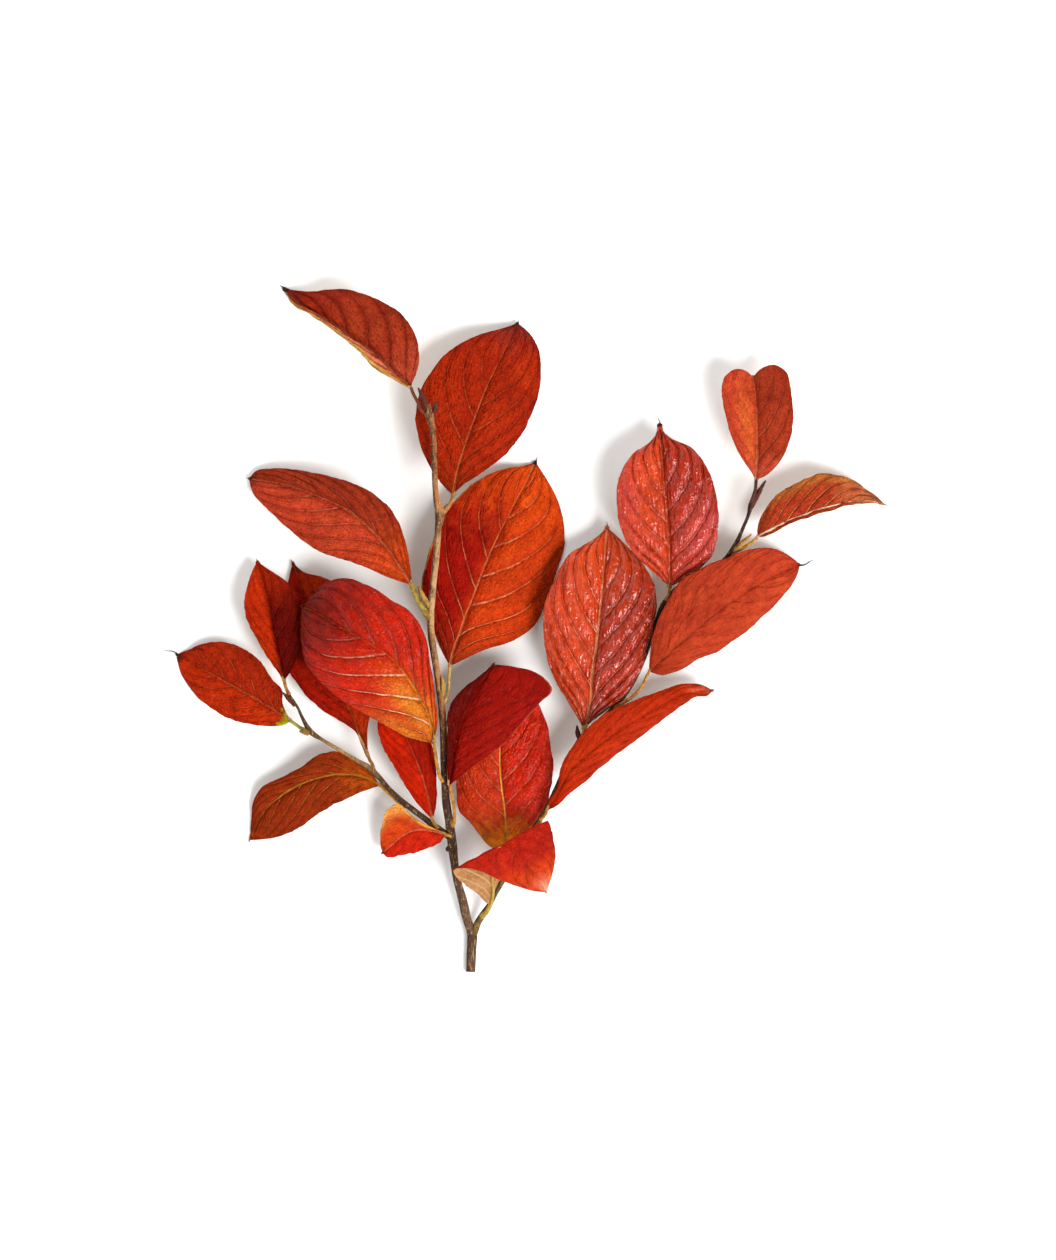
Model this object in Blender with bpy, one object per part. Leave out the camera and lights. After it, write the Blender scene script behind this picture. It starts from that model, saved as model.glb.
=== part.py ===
"""A cut sprig of autumn leaves, lying on a table.

One woody twig (a main stem with a left and a right shoot, short spurs and
buds) carries twenty leaves. Each leaf is a node of its own, its blade and its
stalk in one solid. The sprig lies flat: the photographed view looks straight
down on it, photograph right is +X and photograph up is +Y.

Every curve below is a short list of points (x, y, height): x and y are read
in the photograph's pixels, the height is in millimetres above the table.
"""

import bpy
import bmesh
import numpy as np
from math import cos, pi, sin

# Driving dimensions, in metres
SPRIG_WIDTH = 0.2136
BLADE_THICKNESS = 0.0006
STALK_RADIUS = 0.00048
STALK_END_RADIUS = 0.00042
TIP_HALF_WIDTH = 0.0003
MILLIMETRE = 0.001

# The sprig in the photograph, in its pixels: its width and its outline's centre
PHOTO_WIDTH = 712
PHOTO_CENTRE_X = 530.4
PHOTO_CENTRE_Y = 629.3
PIXEL = SPRIG_WIDTH / PHOTO_WIDTH

# How finely a solid is divided. A blade's first and last cross-sections lie
# just inside its ends, as fractions of its length.
BLADE_SECTIONS = 12
FIRST_SECTION = 0.015
LAST_SECTION = 0.992
STALK_SECTIONS = 3
SIDE_STEPS = (0.0, 0.3, 0.65, 1.0)
TWIG_SIDES = 8
BUD_SIDES = 6
CURVE_STEPS = 16
CREST_FRACTION = 0.45
STALK_EDGE_ANGLE = 0.12 * pi

# The twig: (x, y, height, diameter), the last two in millimetres.
# The first two points of the stem lie on the table.
STEM_DIAMETER = 2.85
STEM_REST = STEM_DIAMETER / 2 * cos(pi / TWIG_SIDES)
MAIN_STEM = [
    (470.5, 972.5, STEM_REST, STEM_DIAMETER), (471.5, 948, STEM_REST, STEM_DIAMETER),
    (472, 935, 1.9, 3.0), (467, 920, 2.9, 2.7), (462.5, 900, 4.3, 2.6), (457, 880, 5.6, 2.4),
    (454, 860, 7.0, 2.4), (452.5, 846, 7.9, 2.9), (451, 834, 8.6, 2.8), (449, 820, 9.4, 2.5),
    (446, 800, 10.5, 2.4), (445, 780, 11.5, 2.3), (444, 760, 12.4, 2.2), (443.5, 730, 13.5, 2.1),
    (441, 700, 14.4, 2.1), (435.5, 662, 15.3, 2.1), (431.5, 636, 15.8, 2.1), (431, 610, 16.2, 2.2),
    (433, 588, 16.6, 2.0), (436.5, 555, 17.0, 2.0), (438.5, 528, 17.3, 2.1), (440, 514, 17.5, 3.0),
    (437, 500, 17.7, 2.0), (434.5, 465, 18.1, 1.8), (432.5, 428, 18.4, 1.9), (429, 412, 18.5, 2.5),
    (427.5, 405, 18.6, 1.6),
]
LEFT_SHOOT = [
    (449, 838, 8.4, 1.4), (443, 832, 8.5, 2.0), (433, 825, 8.5, 1.9), (420, 815, 8.6, 1.8),
    (410, 807.5, 8.8, 1.8), (400, 799.5, 9.0, 1.7), (390, 790, 9.3, 1.6), (380, 778.5, 9.6, 1.6),
    (369, 767.5, 9.9, 1.7), (357, 760.5, 10.1, 1.2), (338, 749, 10.1, 1.1), (322, 739.5, 9.9, 1.1),
    (311, 732, 9.6, 1.7), (304, 721, 9.4, 1.1), (297.5, 707, 9.2, 0.9), (290, 696, 9.1, 0.9),
    (286.5, 689.5, 9.1, 0.8),
]
RIGHT_SHOOT = [
    (472, 940, 1.7, 1.4), (474.5, 932, 2.3, 2.2), (478, 922.5, 3.2, 2.1), (483.5, 914, 4.0, 2.0),
    (489, 906, 4.8, 1.7), (495.5, 893, 5.9, 1.7), (503, 880, 6.9, 1.7), (511, 866, 7.8, 1.7),
    (520, 850, 8.5, 1.6), (535, 827, 8.9, 1.6), (548, 806, 9.1, 1.6), (560, 780, 9.3, 1.5),
    (570, 758, 9.5, 1.5), (579, 741, 9.6, 1.6), (598, 722, 9.6, 1.5), (613, 709, 9.5, 1.7),
    (630, 687, 9.5, 1.4), (645, 656, 9.6, 1.3), (655, 625, 9.7, 1.3), (664, 603, 9.8, 1.5),
    (678, 587, 9.9, 1.2), (703, 573, 10.1, 1.2), (726, 558, 10.4, 1.3), (735, 545.5, 10.8, 1.5),
    (742, 530, 11.4, 1.1), (748.5, 514, 12.0, 1.1), (751, 504, 12.3, 1.5), (752, 500.5, 12.4, 1.0),
]
LEAF_SPUR = [(439, 516, 17.5, 1.6), (444, 511.5, 17.3, 1.7), (449, 505.5, 16.9, 1.5)]
STEM_KNOB = [(451, 847, 7.9, 1.8), (447.5, 849, 8.0, 1.6), (445.5, 849, 8.0, 0.8)]

# Buds, each a short spindle from its root in the wood to its tip
BUDS = {
    "crown_left": [(427, 408, 18.6, 1.4), (423, 398, 18.9, 1.5), (418.5, 388.5, 19.2, 0.4)],
    "crown_right": [(430, 415, 18.5, 1.3), (436, 409, 18.8, 1.5), (434.5, 401, 19.2, 0.5)],
    "upper_axil": [(430, 607, 16.4, 1.5), (424, 598, 17.4, 1.6), (418, 584.5, 18.4, 0.4)],
    "centre_axil": [(442, 695, 14.8, 1.3), (443, 685, 15.6, 1.5), (441.5, 675.5, 16.1, 0.4)],
    "left_tip": [(295, 706, 9.3, 0.9), (288, 698, 9.8, 1.2), (283, 692.5, 10.1, 0.4)],
    "left_node": [(309, 733, 9.7, 1.6), (304, 731.5, 10.2, 1.6), (299.5, 731, 10.4, 0.5)],
    "right_axil": [(581, 741, 9.7, 1.2), (578, 734, 10.2, 1.5), (577, 725.5, 10.5, 0.4)],
    "right_node": [(733, 551, 10.7, 1.2), (742, 543.5, 12.4, 1.5), (751, 534.5, 13.3, 0.4)],
    "right_tip": [(750, 509, 12.3, 1.3), (757, 495, 12.1, 1.6), (765.5, 480.5, 11.4, 0.4)],
}

# The leaves. midrib runs from base to tip; left and right are the margins
# between those ends, on the leaf's own left and right, seen from its upper
# side with the tip ahead. stalk runs from the wood to the blade.
# arch is how far, in millimetres, each half swells above its chord.
# fold, on the leaf that is bent over, gives the crest's place in left,
# midrib and right, so that the three meet in one line across the blade.
LEAVES = {
    "leaf_crown_left": dict(
        color="8E2F1C", arch=0.6,
        stalk=[(422.6, 411, 18.6), (417, 401, 18.8), (412.5, 392, 18.7)],
        midrib=[(411, 387, 18.5), (391, 369, 17.0), (371, 351, 14.6), (350, 337, 11.8),
                (328, 320.5, 8.4), (303, 305, 4.4), (282, 286.5, 0.1)],
        left=[(405, 385, 19.4), (392, 378, 19.6), (377, 370.5, 18.4), (357, 350, 15.4),
              (334, 331.5, 11.6), (310, 315, 7.2), (291, 303, 3.4)],
        right=[(414, 380, 20.0), (419, 362, 20.6), (417, 341, 19.8), (402, 315, 17.4),
               (380, 301, 14.4), (350, 290, 10.6), (325, 289, 7.4), (304, 290.5, 4.2)]),
    "leaf_crown": dict(
        color="A32A12", arch=0.7,
        stalk=[(450.0, 504.0, 16.7), (452.3, 499.2, 16.3)],
        midrib=[(453, 496, 16.0), (458, 470, 14.4), (467, 440, 12.0), (478, 410, 9.6),
                (490, 380, 7.0), (505, 350, 4.2), (518, 322, 1.6)],
        left=[(446, 489, 16.0), (433, 472, 15.4), (421, 447, 14.8), (416, 420, 14.2),
              (419, 397, 13.0), (431, 372, 11.2), (452, 349, 8.8), (478, 335, 6.4),
              (505, 327, 3.6)],
        right=[(462, 487, 15.0), (482, 473, 12.2), (503, 457, 9.4), (521, 436, 6.0),
               (533, 412, 3.0), (541, 382, 0.5), (541, 356, 0.2), (533, 336, 0.6)]),
    "leaf_left_upper": dict(
        color="A93320", arch=0.6,
        stalk=[(425.6, 611.5, 16.3), (417.5, 599, 16.4), (413.5, 590, 16.5)],
        midrib=[(412, 585, 16.5), (396, 560, 15.4), (378, 537, 13.8), (352, 513, 11.2),
                (320, 497, 8.0), (286, 485, 4.8), (248, 478, 1.6)],
        left=[(403, 582.5, 17.0), (385, 576, 17.0), (365, 567, 16.2), (345, 560, 15.0),
              (325, 554, 13.6), (305, 542, 11.2), (285, 526, 8.8), (265, 507, 5.8),
              (251, 490, 3.0)],
        right=[(411, 572, 17.2), (408, 552, 17.0), (401, 528, 16.4), (388, 506, 15.2),
               (368, 490, 13.2), (340, 479, 10.6), (305, 471, 7.4), (270, 468, 3.8),
               (254, 471, 2.0)]),
    "leaf_centre": dict(
        color="BA3A15", arch=0.8,
        stalk=[(446.6, 697.5, 13.7), (448.5, 688, 13.2), (449, 677, 12.6)],
        midrib=[(450, 667, 12.0), (453, 653, 11.4), (460, 633, 10.2), (475, 592, 7.8),
                (491, 552, 5.6), (508, 516, 3.6), (524, 486, 2.0), (536, 461, 0.8)],
        left=[(443, 654, 12.2), (432, 625, 12.4), (422, 585, 12.2), (430, 550, 11.4),
              (444, 515, 10.2), (463, 492, 8.6), (486, 475.5, 6.4), (508, 467.5, 3.8),
              (526, 464.5, 1.8)],
        right=[(464, 660, 10.4), (485, 650, 8.0), (515, 640, 4.6), (534, 626, 2.4),
               (546, 602, 1.1), (556, 575, 0.6), (564, 548, 0.3), (564, 520, 0.3),
               (556, 495, 0.6), (546, 477, 0.7)]),
    "leaf_centre_left": dict(
        color="C23E14", arch=1.2,
        stalk=[(440.2, 776.5, 12.9), (437.5, 766, 13.7), (435.5, 754, 14.1)],
        midrib=[(434, 744, 14.4), (428, 713, 15.6), (411, 683, 17.0), (391, 658, 17.8),
                (365, 641, 17.6), (335, 624, 15.8), (313, 611, 13.2), (301, 606, 11.4)],
        left=[(421, 741.5, 13.6), (402, 735.5, 13.4), (385, 725.5, 13.6), (368, 716, 14.0),
              (350, 706, 14.2), (333, 693.5, 14.0), (316, 677, 13.4), (304, 660, 12.6),
              (300.5, 636, 11.8), (300, 620, 11.4)],
        right=[(438, 728, 15.4), (436, 700, 17.2), (431, 665, 18.6), (426, 637, 19.0),
               (413, 614, 18.8), (392, 600, 18.4), (366, 584, 17.4), (344, 578, 16.0),
               (323, 585, 14.0), (309, 598, 12.4)]),
    "leaf_left_shoot_end": dict(
        color="96250F", arch=0.4,
        stalk=[(286, 687.7, 9.1), (285, 684, 9.1)],
        midrib=[(284.5, 681, 9.0), (279, 660, 8.4), (273, 635, 7.8), (268, 605, 7.0),
                (263, 582, 6.2), (257, 561, 5.2)],
        left=[(279, 673, 9.6), (268, 658, 9.8), (258, 641, 9.6), (248, 622, 9.4),
              (244, 605, 8.8), (248, 584, 7.8), (253, 569, 6.3)],
        right=[(291, 671, 9.0), (299, 654, 9.0), (303, 628, 9.0), (300, 601, 8.8),
               (287, 582, 8.2), (273, 572, 7.2), (264, 566, 6.1)]),
    "leaf_left_shoot_back": dict(
        color="8A2811", arch=0.5,
        stalk=[(372.2, 763.8, 9.5), (370.4, 761, 9.3)],
        midrib=[(368.5, 757, 9.0), (357, 727, 8.2), (340, 688, 7.0), (321, 640, 5.4),
                (304, 595, 3.4), (292, 562, 1.4)],
        left=[(364, 748, 8.8), (354, 731, 8.2), (338, 720, 7.6), (320, 708.5, 7.0),
              (303, 692, 6.2), (289, 671, 5.2), (283, 635, 4.0), (284, 598, 2.8),
              (289, 574, 1.8)],
        right=[(368, 746, 8.8), (368, 728, 8.4), (372, 705, 8.0), (374, 680, 7.6),
               (368, 650, 7.0), (354, 615, 6.0), (334, 582.5, 4.2), (318, 575.5, 3.0),
               (303, 571, 2.0)]),
    "leaf_far_left": dict(
        color="AE3416", arch=0.5,
        stalk=[(300.5, 727.8, 8.9), (295.5, 724.2, 8.9)],
        midrib=[(291, 721, 8.8), (268, 706, 7.8), (240, 690, 6.0), (210, 673.5, 3.6),
                (188, 661, 1.8), (175, 654.5, 0.15)],
        left=[(284, 725, 9.0), (268, 726, 8.4), (248, 723.5, 7.0), (228, 718.5, 5.2),
              (208, 706.5, 3.2), (192, 692.5, 1.8), (181, 676, 0.8)],
        right=[(287, 714, 9.0), (282.5, 702, 9.0), (282.5, 691, 8.9), (273, 680, 8.6),
               (260, 661, 7.6), (243, 648.5, 6.2), (222, 642, 4.4), (203, 643.5, 2.8),
               (187, 649.5, 1.2)]),
    "leaf_low_left": dict(
        color="A0421A", arch=0.6,
        stalk=[(402, 804.5, 7.3), (392, 796.5, 7.4), (384, 789, 7.4)],
        midrib=[(381, 786, 7.3), (365, 777.5, 7.0), (340, 774.5, 6.4), (312, 780, 5.0),
                (286, 793, 3.4), (266, 809, 1.8), (249, 841, 0.3)],
        left=[(370, 789, 6.6), (350, 797.5, 5.2), (330, 807, 3.8), (314, 817.5, 2.6),
              (298, 828.5, 1.6), (280, 836.5, 0.9), (262, 840, 0.5)],
        right=[(372, 773.5, 7.6), (355, 760.5, 7.8), (338, 751.5, 7.8), (322, 753.5, 7.4),
               (300, 767.5, 6.8), (280, 778, 5.6), (262, 787, 4.2), (252, 803, 2.4),
               (250, 823, 1.1)]),
    "leaf_low_small": dict(
        color="CC2F18", arch=0.4,
        stalk=[(448.8, 835.4, 10.8), (447.2, 835, 10.8)],
        midrib=[(445.5, 834.5, 10.8), (432, 831, 10.4), (416, 830, 9.7), (403, 835.5, 8.4),
                (393, 844, 7.0), (382, 853.5, 5.6)],
        left=[(441, 842, 10.0), (430, 847.5, 9.0), (414, 853, 7.6), (398, 856.5, 6.4),
              (387, 857.5, 5.6)],
        right=[(440, 830.5, 10.9), (433, 827.5, 10.8), (421, 821.5, 10.6), (409, 812.5, 10.3),
               (397, 803.5, 9.8), (387, 809.5, 8.8), (381, 828, 7.0), (380, 843, 6.0)]),
    "leaf_behind_centre": dict(
        color="B32316", arch=0.4,
        stalk=[(434.6, 823.8, 10.0), (433.6, 822, 10.3)],
        midrib=[(432.5, 820, 10.5), (429, 800, 10.6), (422, 775, 10.6), (412, 750, 10.4),
                (400, 725, 9.8), (386, 701, 9.0)],
        left=[(426, 813, 10.8), (417, 803, 11.1), (408, 790, 11.2), (399, 774.5, 11.2),
              (389, 758.5, 11.0), (381, 742.5, 10.4), (377.5, 728, 9.8), (379, 713, 9.2)],
        right=[(435.5, 810, 10.8), (437, 795, 11.1), (436.5, 772, 11.2), (433, 750, 11.0),
               (425, 727, 10.6), (407, 708, 9.7)]),
    "leaf_stem_right": dict(
        color="96150C", arch=0.7,
        stalk=[(454.2, 821.5, 10.6), (454, 808, 11.5), (451.5, 793, 12.6)],
        midrib=[(449.5, 785, 13.4), (453, 757, 13.2), (461, 724, 13.0), (475, 694, 12.4),
                (494, 664, 11.2)],
        left=[(448, 775, 14.8), (447.3, 755, 15.8), (447.5, 730, 16.4), (450, 706, 16.2),
              (462, 689.5, 15.0), (478, 677, 13.2)],
        right=[(458, 779, 14.4), (475, 765, 15.6), (500, 747, 16.4), (520, 725, 16.6),
               (540, 703, 16.2), (552, 690, 15.4), (545, 678.5, 14.2), (530, 670, 13.2),
               (512, 666, 12.0)]),
    "leaf_stem_right_back": dict(
        color="B43A18", arch=0.6,
        stalk=[(505.0, 866.4, 7.1), (506.6, 862, 6.9)],
        midrib=[(507.5, 856, 6.6), (507, 838, 6.8), (505, 812, 7.4), (501, 780, 8.0),
                (500, 750, 8.4), (505, 715, 8.4), (512, 682, 8.0)],
        left=[(500, 852, 6.8), (488, 845, 7.2), (473, 826, 7.6), (459, 810, 7.8),
              (456, 790, 8.0), (460, 760, 8.4), (470, 725, 8.6), (487, 697, 8.4)],
        right=[(514, 852, 6.2), (528, 840, 6.0), (541, 824, 6.2), (548, 802, 6.8),
               (553, 775, 7.4), (551, 745, 7.9), (544, 715, 8.1), (530, 693, 8.1)]),
    "leaf_folded": dict(
        color="CB2F17", arch=0.3, fold=(5, 4, 4),
        stalk=[(486.4, 912.6, 6.0), (488.6, 908.8, 6.8)],
        midrib=[(490.5, 905, 7.6), (493, 891, 11.0), (492, 877, 14.6), (495, 859, 18.8),
                (503, 843.5, 21.2), (515, 852, 20.6), (527, 867, 18.6), (537, 880, 16.6),
                (546.5, 892.5, 14.2)],
        left=[(494, 893, 10.8), (499, 882, 13.0), (508, 868, 15.6), (525, 846, 18.4),
              (539, 829, 19.6), (547, 820, 20.0), (553, 836, 19.4), (555.5, 852, 18.4),
              (553.5, 870, 16.6), (550, 881.5, 15.2)],
        right=[(486, 902.5, 8.8), (478, 893.5, 10.8), (466, 884.5, 13.4), (456.5, 876, 16.0),
               (453, 869, 18.0), (466, 867.5, 18.8), (480, 871, 18.6), (500, 879.5, 17.2),
               (516, 885.5, 16.0), (532, 890.5, 15.0)]),
    "leaf_low_right": dict(
        color="B0301A", arch=0.5,
        stalk=[(544.8, 815, 10.4), (545.8, 813, 10.7)],
        midrib=[(546.5, 811, 11.0), (556, 796, 12.2), (570, 771, 13.2), (595, 748, 13.4),
                (625, 727, 12.2), (655, 709, 10.2), (685, 694, 8.0), (714, 690.5, 6.0)],
        left=[(549.5, 800, 12.2), (557, 788, 13.4), (560, 770, 14.4), (569, 751, 15.0),
              (583, 733, 15.2), (601, 716, 14.8), (625, 704, 13.4), (655, 692.5, 11.2),
              (685, 683.5, 8.8), (703, 685, 7.2)],
        right=[(556, 806.5, 11.0), (571, 793.5, 11.0), (586, 781, 10.4), (600, 768, 9.6),
               (622, 750, 8.4), (645, 734, 7.2), (665, 719, 6.6), (682, 706.5, 6.2),
               (696, 697.5, 6.0), (707, 696.5, 6.0)]),
    "leaf_right_glossy": dict(
        color="C24522", arch=0.7,
        stalk=[(582, 736.1, 11.0), (583, 733.5, 11.1)],
        midrib=[(583.5, 730, 11.2), (590, 705, 10.8), (592, 675, 10.0), (595.5, 650, 9.4),
                (599, 620, 9.0), (602, 590, 8.6), (604.5, 560, 7.8), (607, 526, 6.6)],
        left=[(577, 718, 11.4), (566, 699, 11.2), (555, 681, 11.0), (546, 655, 10.6),
              (543, 628, 10.2), (546, 599, 9.8), (555, 578, 9.2), (568, 555, 8.6),
              (583, 544.5, 7.8), (597, 535.5, 7.0)],
        right=[(589.5, 724, 11.4), (605, 712, 11.5), (622, 698, 11.6), (640, 672, 11.6),
               (648, 645, 11.5), (656, 612, 11.3), (655, 588, 10.7), (645, 567, 9.9),
               (630, 549, 8.9), (615, 533.5, 7.4)]),
    "leaf_right_upper": dict(
        color="A83022", arch=0.7,
        stalk=[(668.5, 594, 11.0), (669, 591, 11.7)],
        midrib=[(669.5, 588, 12.1), (669.5, 560, 12.6), (668, 530, 12.8), (665.5, 500, 12.6),
                (663, 470, 12.0), (661, 443, 11.0), (659.5, 424, 9.8)],
        left=[(662, 581, 12.8), (649, 569, 13.6), (633, 553, 14.4), (622, 533, 14.6),
              (616.5, 506, 14.6), (620, 475, 14.2), (633, 453.5, 13.2), (650, 441, 12.0),
              (656.5, 432, 10.8)],
        right=[(681, 582, 12.4), (699, 570, 12.8), (712, 555, 13.4), (718, 528, 14.2),
               (716, 495, 14.4), (706, 466, 14.0), (690, 446.5, 13.0), (672, 438.5, 11.8),
               (663, 431, 10.7)]),
    "leaf_right_broad": dict(
        color="B9471F", arch=0.9,
        stalk=[(620.2, 704.5, 10.6), (632, 697, 11.2), (643, 684, 12.6)],
        midrib=[(648.5, 672, 13.2), (672, 650, 13.8), (700, 626, 12.8), (730, 603, 10.6),
                (762, 582, 6.6), (801, 564, 0.1)],
        left=[(649.5, 655, 14.2), (654, 630, 15.0), (665, 605, 15.4), (684, 578, 15.6),
              (703, 567.5, 15.2), (725, 558, 14.0), (750, 549.5, 11.2), (778, 549.5, 6.4),
              (791, 556.5, 3.0)],
        right=[(662, 675.5, 12.6), (680, 669.5, 10.6), (700, 660.5, 8.4), (721, 650, 6.2),
               (741, 635.5, 4.2), (760, 620, 2.4), (779, 601.5, 1.0), (793, 585, 0.5),
               (799, 573, 0.4)]),
    "leaf_notched": dict(
        color="AF3524", arch=0.5,
        stalk=[(753.5, 495.2, 13.3), (755, 490, 13.3), (755.5, 485, 13.3)],
        midrib=[(756, 480, 13.2), (757, 455, 12.6), (757, 430, 12.0), (756, 403, 11.0),
                (753, 376, 9.6)],
        left=[(751, 472.5, 13.8), (741, 458, 14.2), (732, 439, 14.2), (725, 414, 13.8),
              (721.5, 391, 13.0), (725, 376.5, 12.0), (736, 369, 11.0), (747, 371.5, 10.2)],
        right=[(763, 477.5, 13.8), (775, 467.5, 14.4), (786, 450, 14.8), (792.5, 425, 14.6),
               (791, 395, 13.8), (785, 371.5, 12.6), (773, 364.5, 11.4), (760, 369, 10.2)]),
    "leaf_far_right": dict(
        color="B5552A", arch=0.5,
        stalk=[(738.9, 550, 10.4), (748, 545, 11.0), (754, 540.5, 11.4)],
        midrib=[(757, 537.5, 11.6), (775, 528, 11.4), (800, 517, 10.2), (825, 508, 8.2),
                (850, 502.5, 5.6), (870, 501.5, 2.8), (886.5, 505, 0.1)],
        left=[(757, 528, 12.2), (764, 510.5, 12.6), (776, 495.5, 12.0), (796, 483, 10.6),
              (823, 473.5, 8.6), (848, 477.5, 6.0), (868, 489.5, 3.2), (880, 498, 1.4)],
        right=[(762, 538.5, 10.4), (776, 532, 8.2), (800, 520.5, 5.6), (825, 511.5, 3.4),
               (850, 505.5, 1.6), (870, 503.5, 0.6), (881, 504.5, 0.4)]),
}

BARK_COLOR = "7A5238"


def place(point):
    """Turn a read point (pixels, pixels, millimetres) into metres, centred on the sprig."""
    x, y, height = point[:3]
    return np.array([
        (x - PHOTO_CENTRE_X) * PIXEL,
        (PHOTO_CENTRE_Y - y) * PIXEL,
        height * MILLIMETRE,
    ])


def unit(vectors):
    length = np.linalg.norm(vectors, axis=-1, keepdims=True)
    return vectors / np.maximum(length, 1e-12)


def smooth_curve(points):
    """A dense smooth line through the points, CURVE_STEPS to each span."""
    points = np.asarray(points, dtype=float)
    chords = np.maximum(np.linalg.norm(np.diff(points, axis=0), axis=1), 1e-9)
    slopes = np.diff(points, axis=0) / chords[:, None]
    tangents = np.empty_like(points)
    tangents[0] = slopes[0]
    tangents[-1] = slopes[-1]
    before = chords[:-1, None]
    after = chords[1:, None]
    tangents[1:-1] = (slopes[:-1] * after + slopes[1:] * before) / (before + after)
    line = [points[0]]
    for start in range(len(chords)):
        span = chords[start]
        for step in range(1, CURVE_STEPS + 1):
            s = step / CURVE_STEPS
            line.append(
                (2 * s**3 - 3 * s**2 + 1) * points[start]
                + (s**3 - 2 * s**2 + s) * span * tangents[start]
                + (3 * s**2 - 2 * s**3) * points[start + 1]
                + (s**3 - s**2) * span * tangents[start + 1])
    return np.array(line)


def curve_at(points, fractions, crest=None):
    """Points of the smooth curve at fractions of its length.

    Where crest names one of the points, that point lies at CREST_FRACTION.
    """
    line = smooth_curve(points)
    length = np.concatenate([[0.0], np.cumsum(np.linalg.norm(np.diff(line, axis=0), axis=1))])
    if crest is None:
        place_in_line = length / length[-1]
    else:
        bend = length[crest * CURVE_STEPS]
        rising = length / bend * CREST_FRACTION
        falling = CREST_FRACTION + (length - bend) / (length[-1] - bend) * (1 - CREST_FRACTION)
        place_in_line = np.where(length <= bend, rising, falling)
    return np.stack([np.interp(fractions, place_in_line, line[:, axis]) for axis in range(3)], axis=1)


def blade_grid(leaf, fractions, side_steps):
    """The blade's middle surface, rows from base to tip, columns from left to right."""
    midrib = [place(point) for point in leaf["midrib"]]
    crests = leaf.get("fold", (None, None, None))
    middle = curve_at(midrib, fractions, crests[1])
    rows = len(fractions)
    side_count = len(side_steps)
    grid = np.empty((rows, 2 * side_count - 1, 3))
    least = STALK_RADIUS * (1 - fractions) + TIP_HALF_WIDTH * fractions
    for side, direction, crest in (("left", -1, crests[0]), ("right", 1, crests[2])):
        knots = [midrib[0]] + [place(point) for point in leaf[side]] + [midrib[-1]]
        margin = curve_at(knots, fractions, None if crest is None else crest + 1)
        reach = margin - middle
        width = np.linalg.norm(reach, axis=1)
        reach = reach * np.maximum(1.0, least / np.maximum(width, 1e-9))[:, None]
        for column, step in enumerate(side_steps):
            grid[:, side_count - 1 + direction * column] = middle + reach * step
    along = np.gradient(middle, axis=0)
    across = grid[:, -1] - grid[:, 0]
    upward = unit(np.cross(across, along))
    swell = leaf["arch"] * MILLIMETRE * np.sqrt(np.clip(np.sin(pi * fractions), 0.0, 1.0))
    for column, step in enumerate(side_steps):
        lift = upward * (swell * sin(pi * step))[:, None]
        grid[:, side_count - 1 + column] += lift
        if column:
            grid[:, side_count - 1 - column] += lift
    return grid


def grid_normals(grid):
    along = np.gradient(grid, axis=0)
    across = np.gradient(grid, axis=1)
    return unit(np.cross(across, along))


def blade_rings(leaf):
    """Cross-section rings of the blade: the top row left to right, then the bottom row."""
    even = np.linspace(0.0, 1.0, BLADE_SECTIONS + 1)
    eased = 0.5 - 0.5 * np.cos(pi * even)
    fractions = 0.5 * even + 0.5 * eased
    fractions[0] = FIRST_SECTION
    fractions[-1] = LAST_SECTION
    grid = blade_grid(leaf, fractions, SIDE_STEPS)
    normals = grid_normals(grid)
    half = BLADE_THICKNESS / 2
    top = grid + normals * half
    below = np.full(grid.shape[:2], half)
    below[:, len(SIDE_STEPS) - 1] += (STALK_RADIUS - half) * (1 - fractions) ** 2
    bottom = grid - normals * below[:, :, None]
    return [np.concatenate([top[row], bottom[row]]) for row in range(len(fractions))]


def stalk_rings(leaf, first_ring):
    """Oval rings along the stalk, with as many points as a blade ring."""
    columns = len(first_ring) // 2
    path = [place(point) for point in leaf["stalk"]] + [place(leaf["midrib"][0])]
    fractions = np.linspace(0.0, 1.0, STALK_SECTIONS + 1)[:-1]
    centres = curve_at(path, fractions)
    ahead = unit(np.gradient(curve_at(path, np.linspace(0, 1, CURVE_STEPS + 1)), axis=0))
    blade_across = first_ring[columns - 1] - first_ring[0]
    angles = np.linspace(STALK_EDGE_ANGLE, pi - STALK_EDGE_ANGLE, columns)
    rings = []
    for index, fraction in enumerate(fractions):
        forward = ahead[round(fraction * CURVE_STEPS)]
        across = unit(blade_across - forward * np.dot(blade_across, forward))
        up = np.cross(across, forward)
        radius = STALK_END_RADIUS + (STALK_RADIUS - STALK_END_RADIUS) * fraction
        sideways = -np.cos(angles)[:, None] * across * radius
        upright = np.sin(angles)[:, None] * up * radius
        rings.append(np.concatenate([
            centres[index] + sideways + upright,
            centres[index] + sideways - upright]))
    return rings


def leaf_mesh(name, leaf):
    """One closed solid: stalk rings, then blade rings, with a cap at each end.

    The blade's quads are split along the same diagonal on both faces.
    """
    blade = blade_rings(leaf)
    rings = stalk_rings(leaf, blade[0]) + blade
    columns = len(rings[0]) // 2
    vertices = np.concatenate(rings)
    vertices[:, 2] = np.maximum(vertices[:, 2], 0.0)
    faces = []
    for row in range(len(rings) - 1):
        here = row * 2 * columns
        there = here + 2 * columns
        for column in range(columns - 1):
            for face in (0, columns):
                a = here + face + column
                b = there + face + column
                faces.append((a, a + 1, b + 1))
                faces.append((a, b + 1, b))
        for top in (0, columns - 1):
            bottom = top + columns
            faces.append((here + top, there + top, there + bottom))
            faces.append((here + top, there + bottom, here + bottom))
    for start in (0, (len(rings) - 1) * 2 * columns):
        for column in range(columns - 1):
            a = start + column
            b = a + columns
            faces.append((a, a + 1, b + 1))
            faces.append((a, b + 1, b))
    return solid_mesh(name, vertices, faces)


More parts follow.
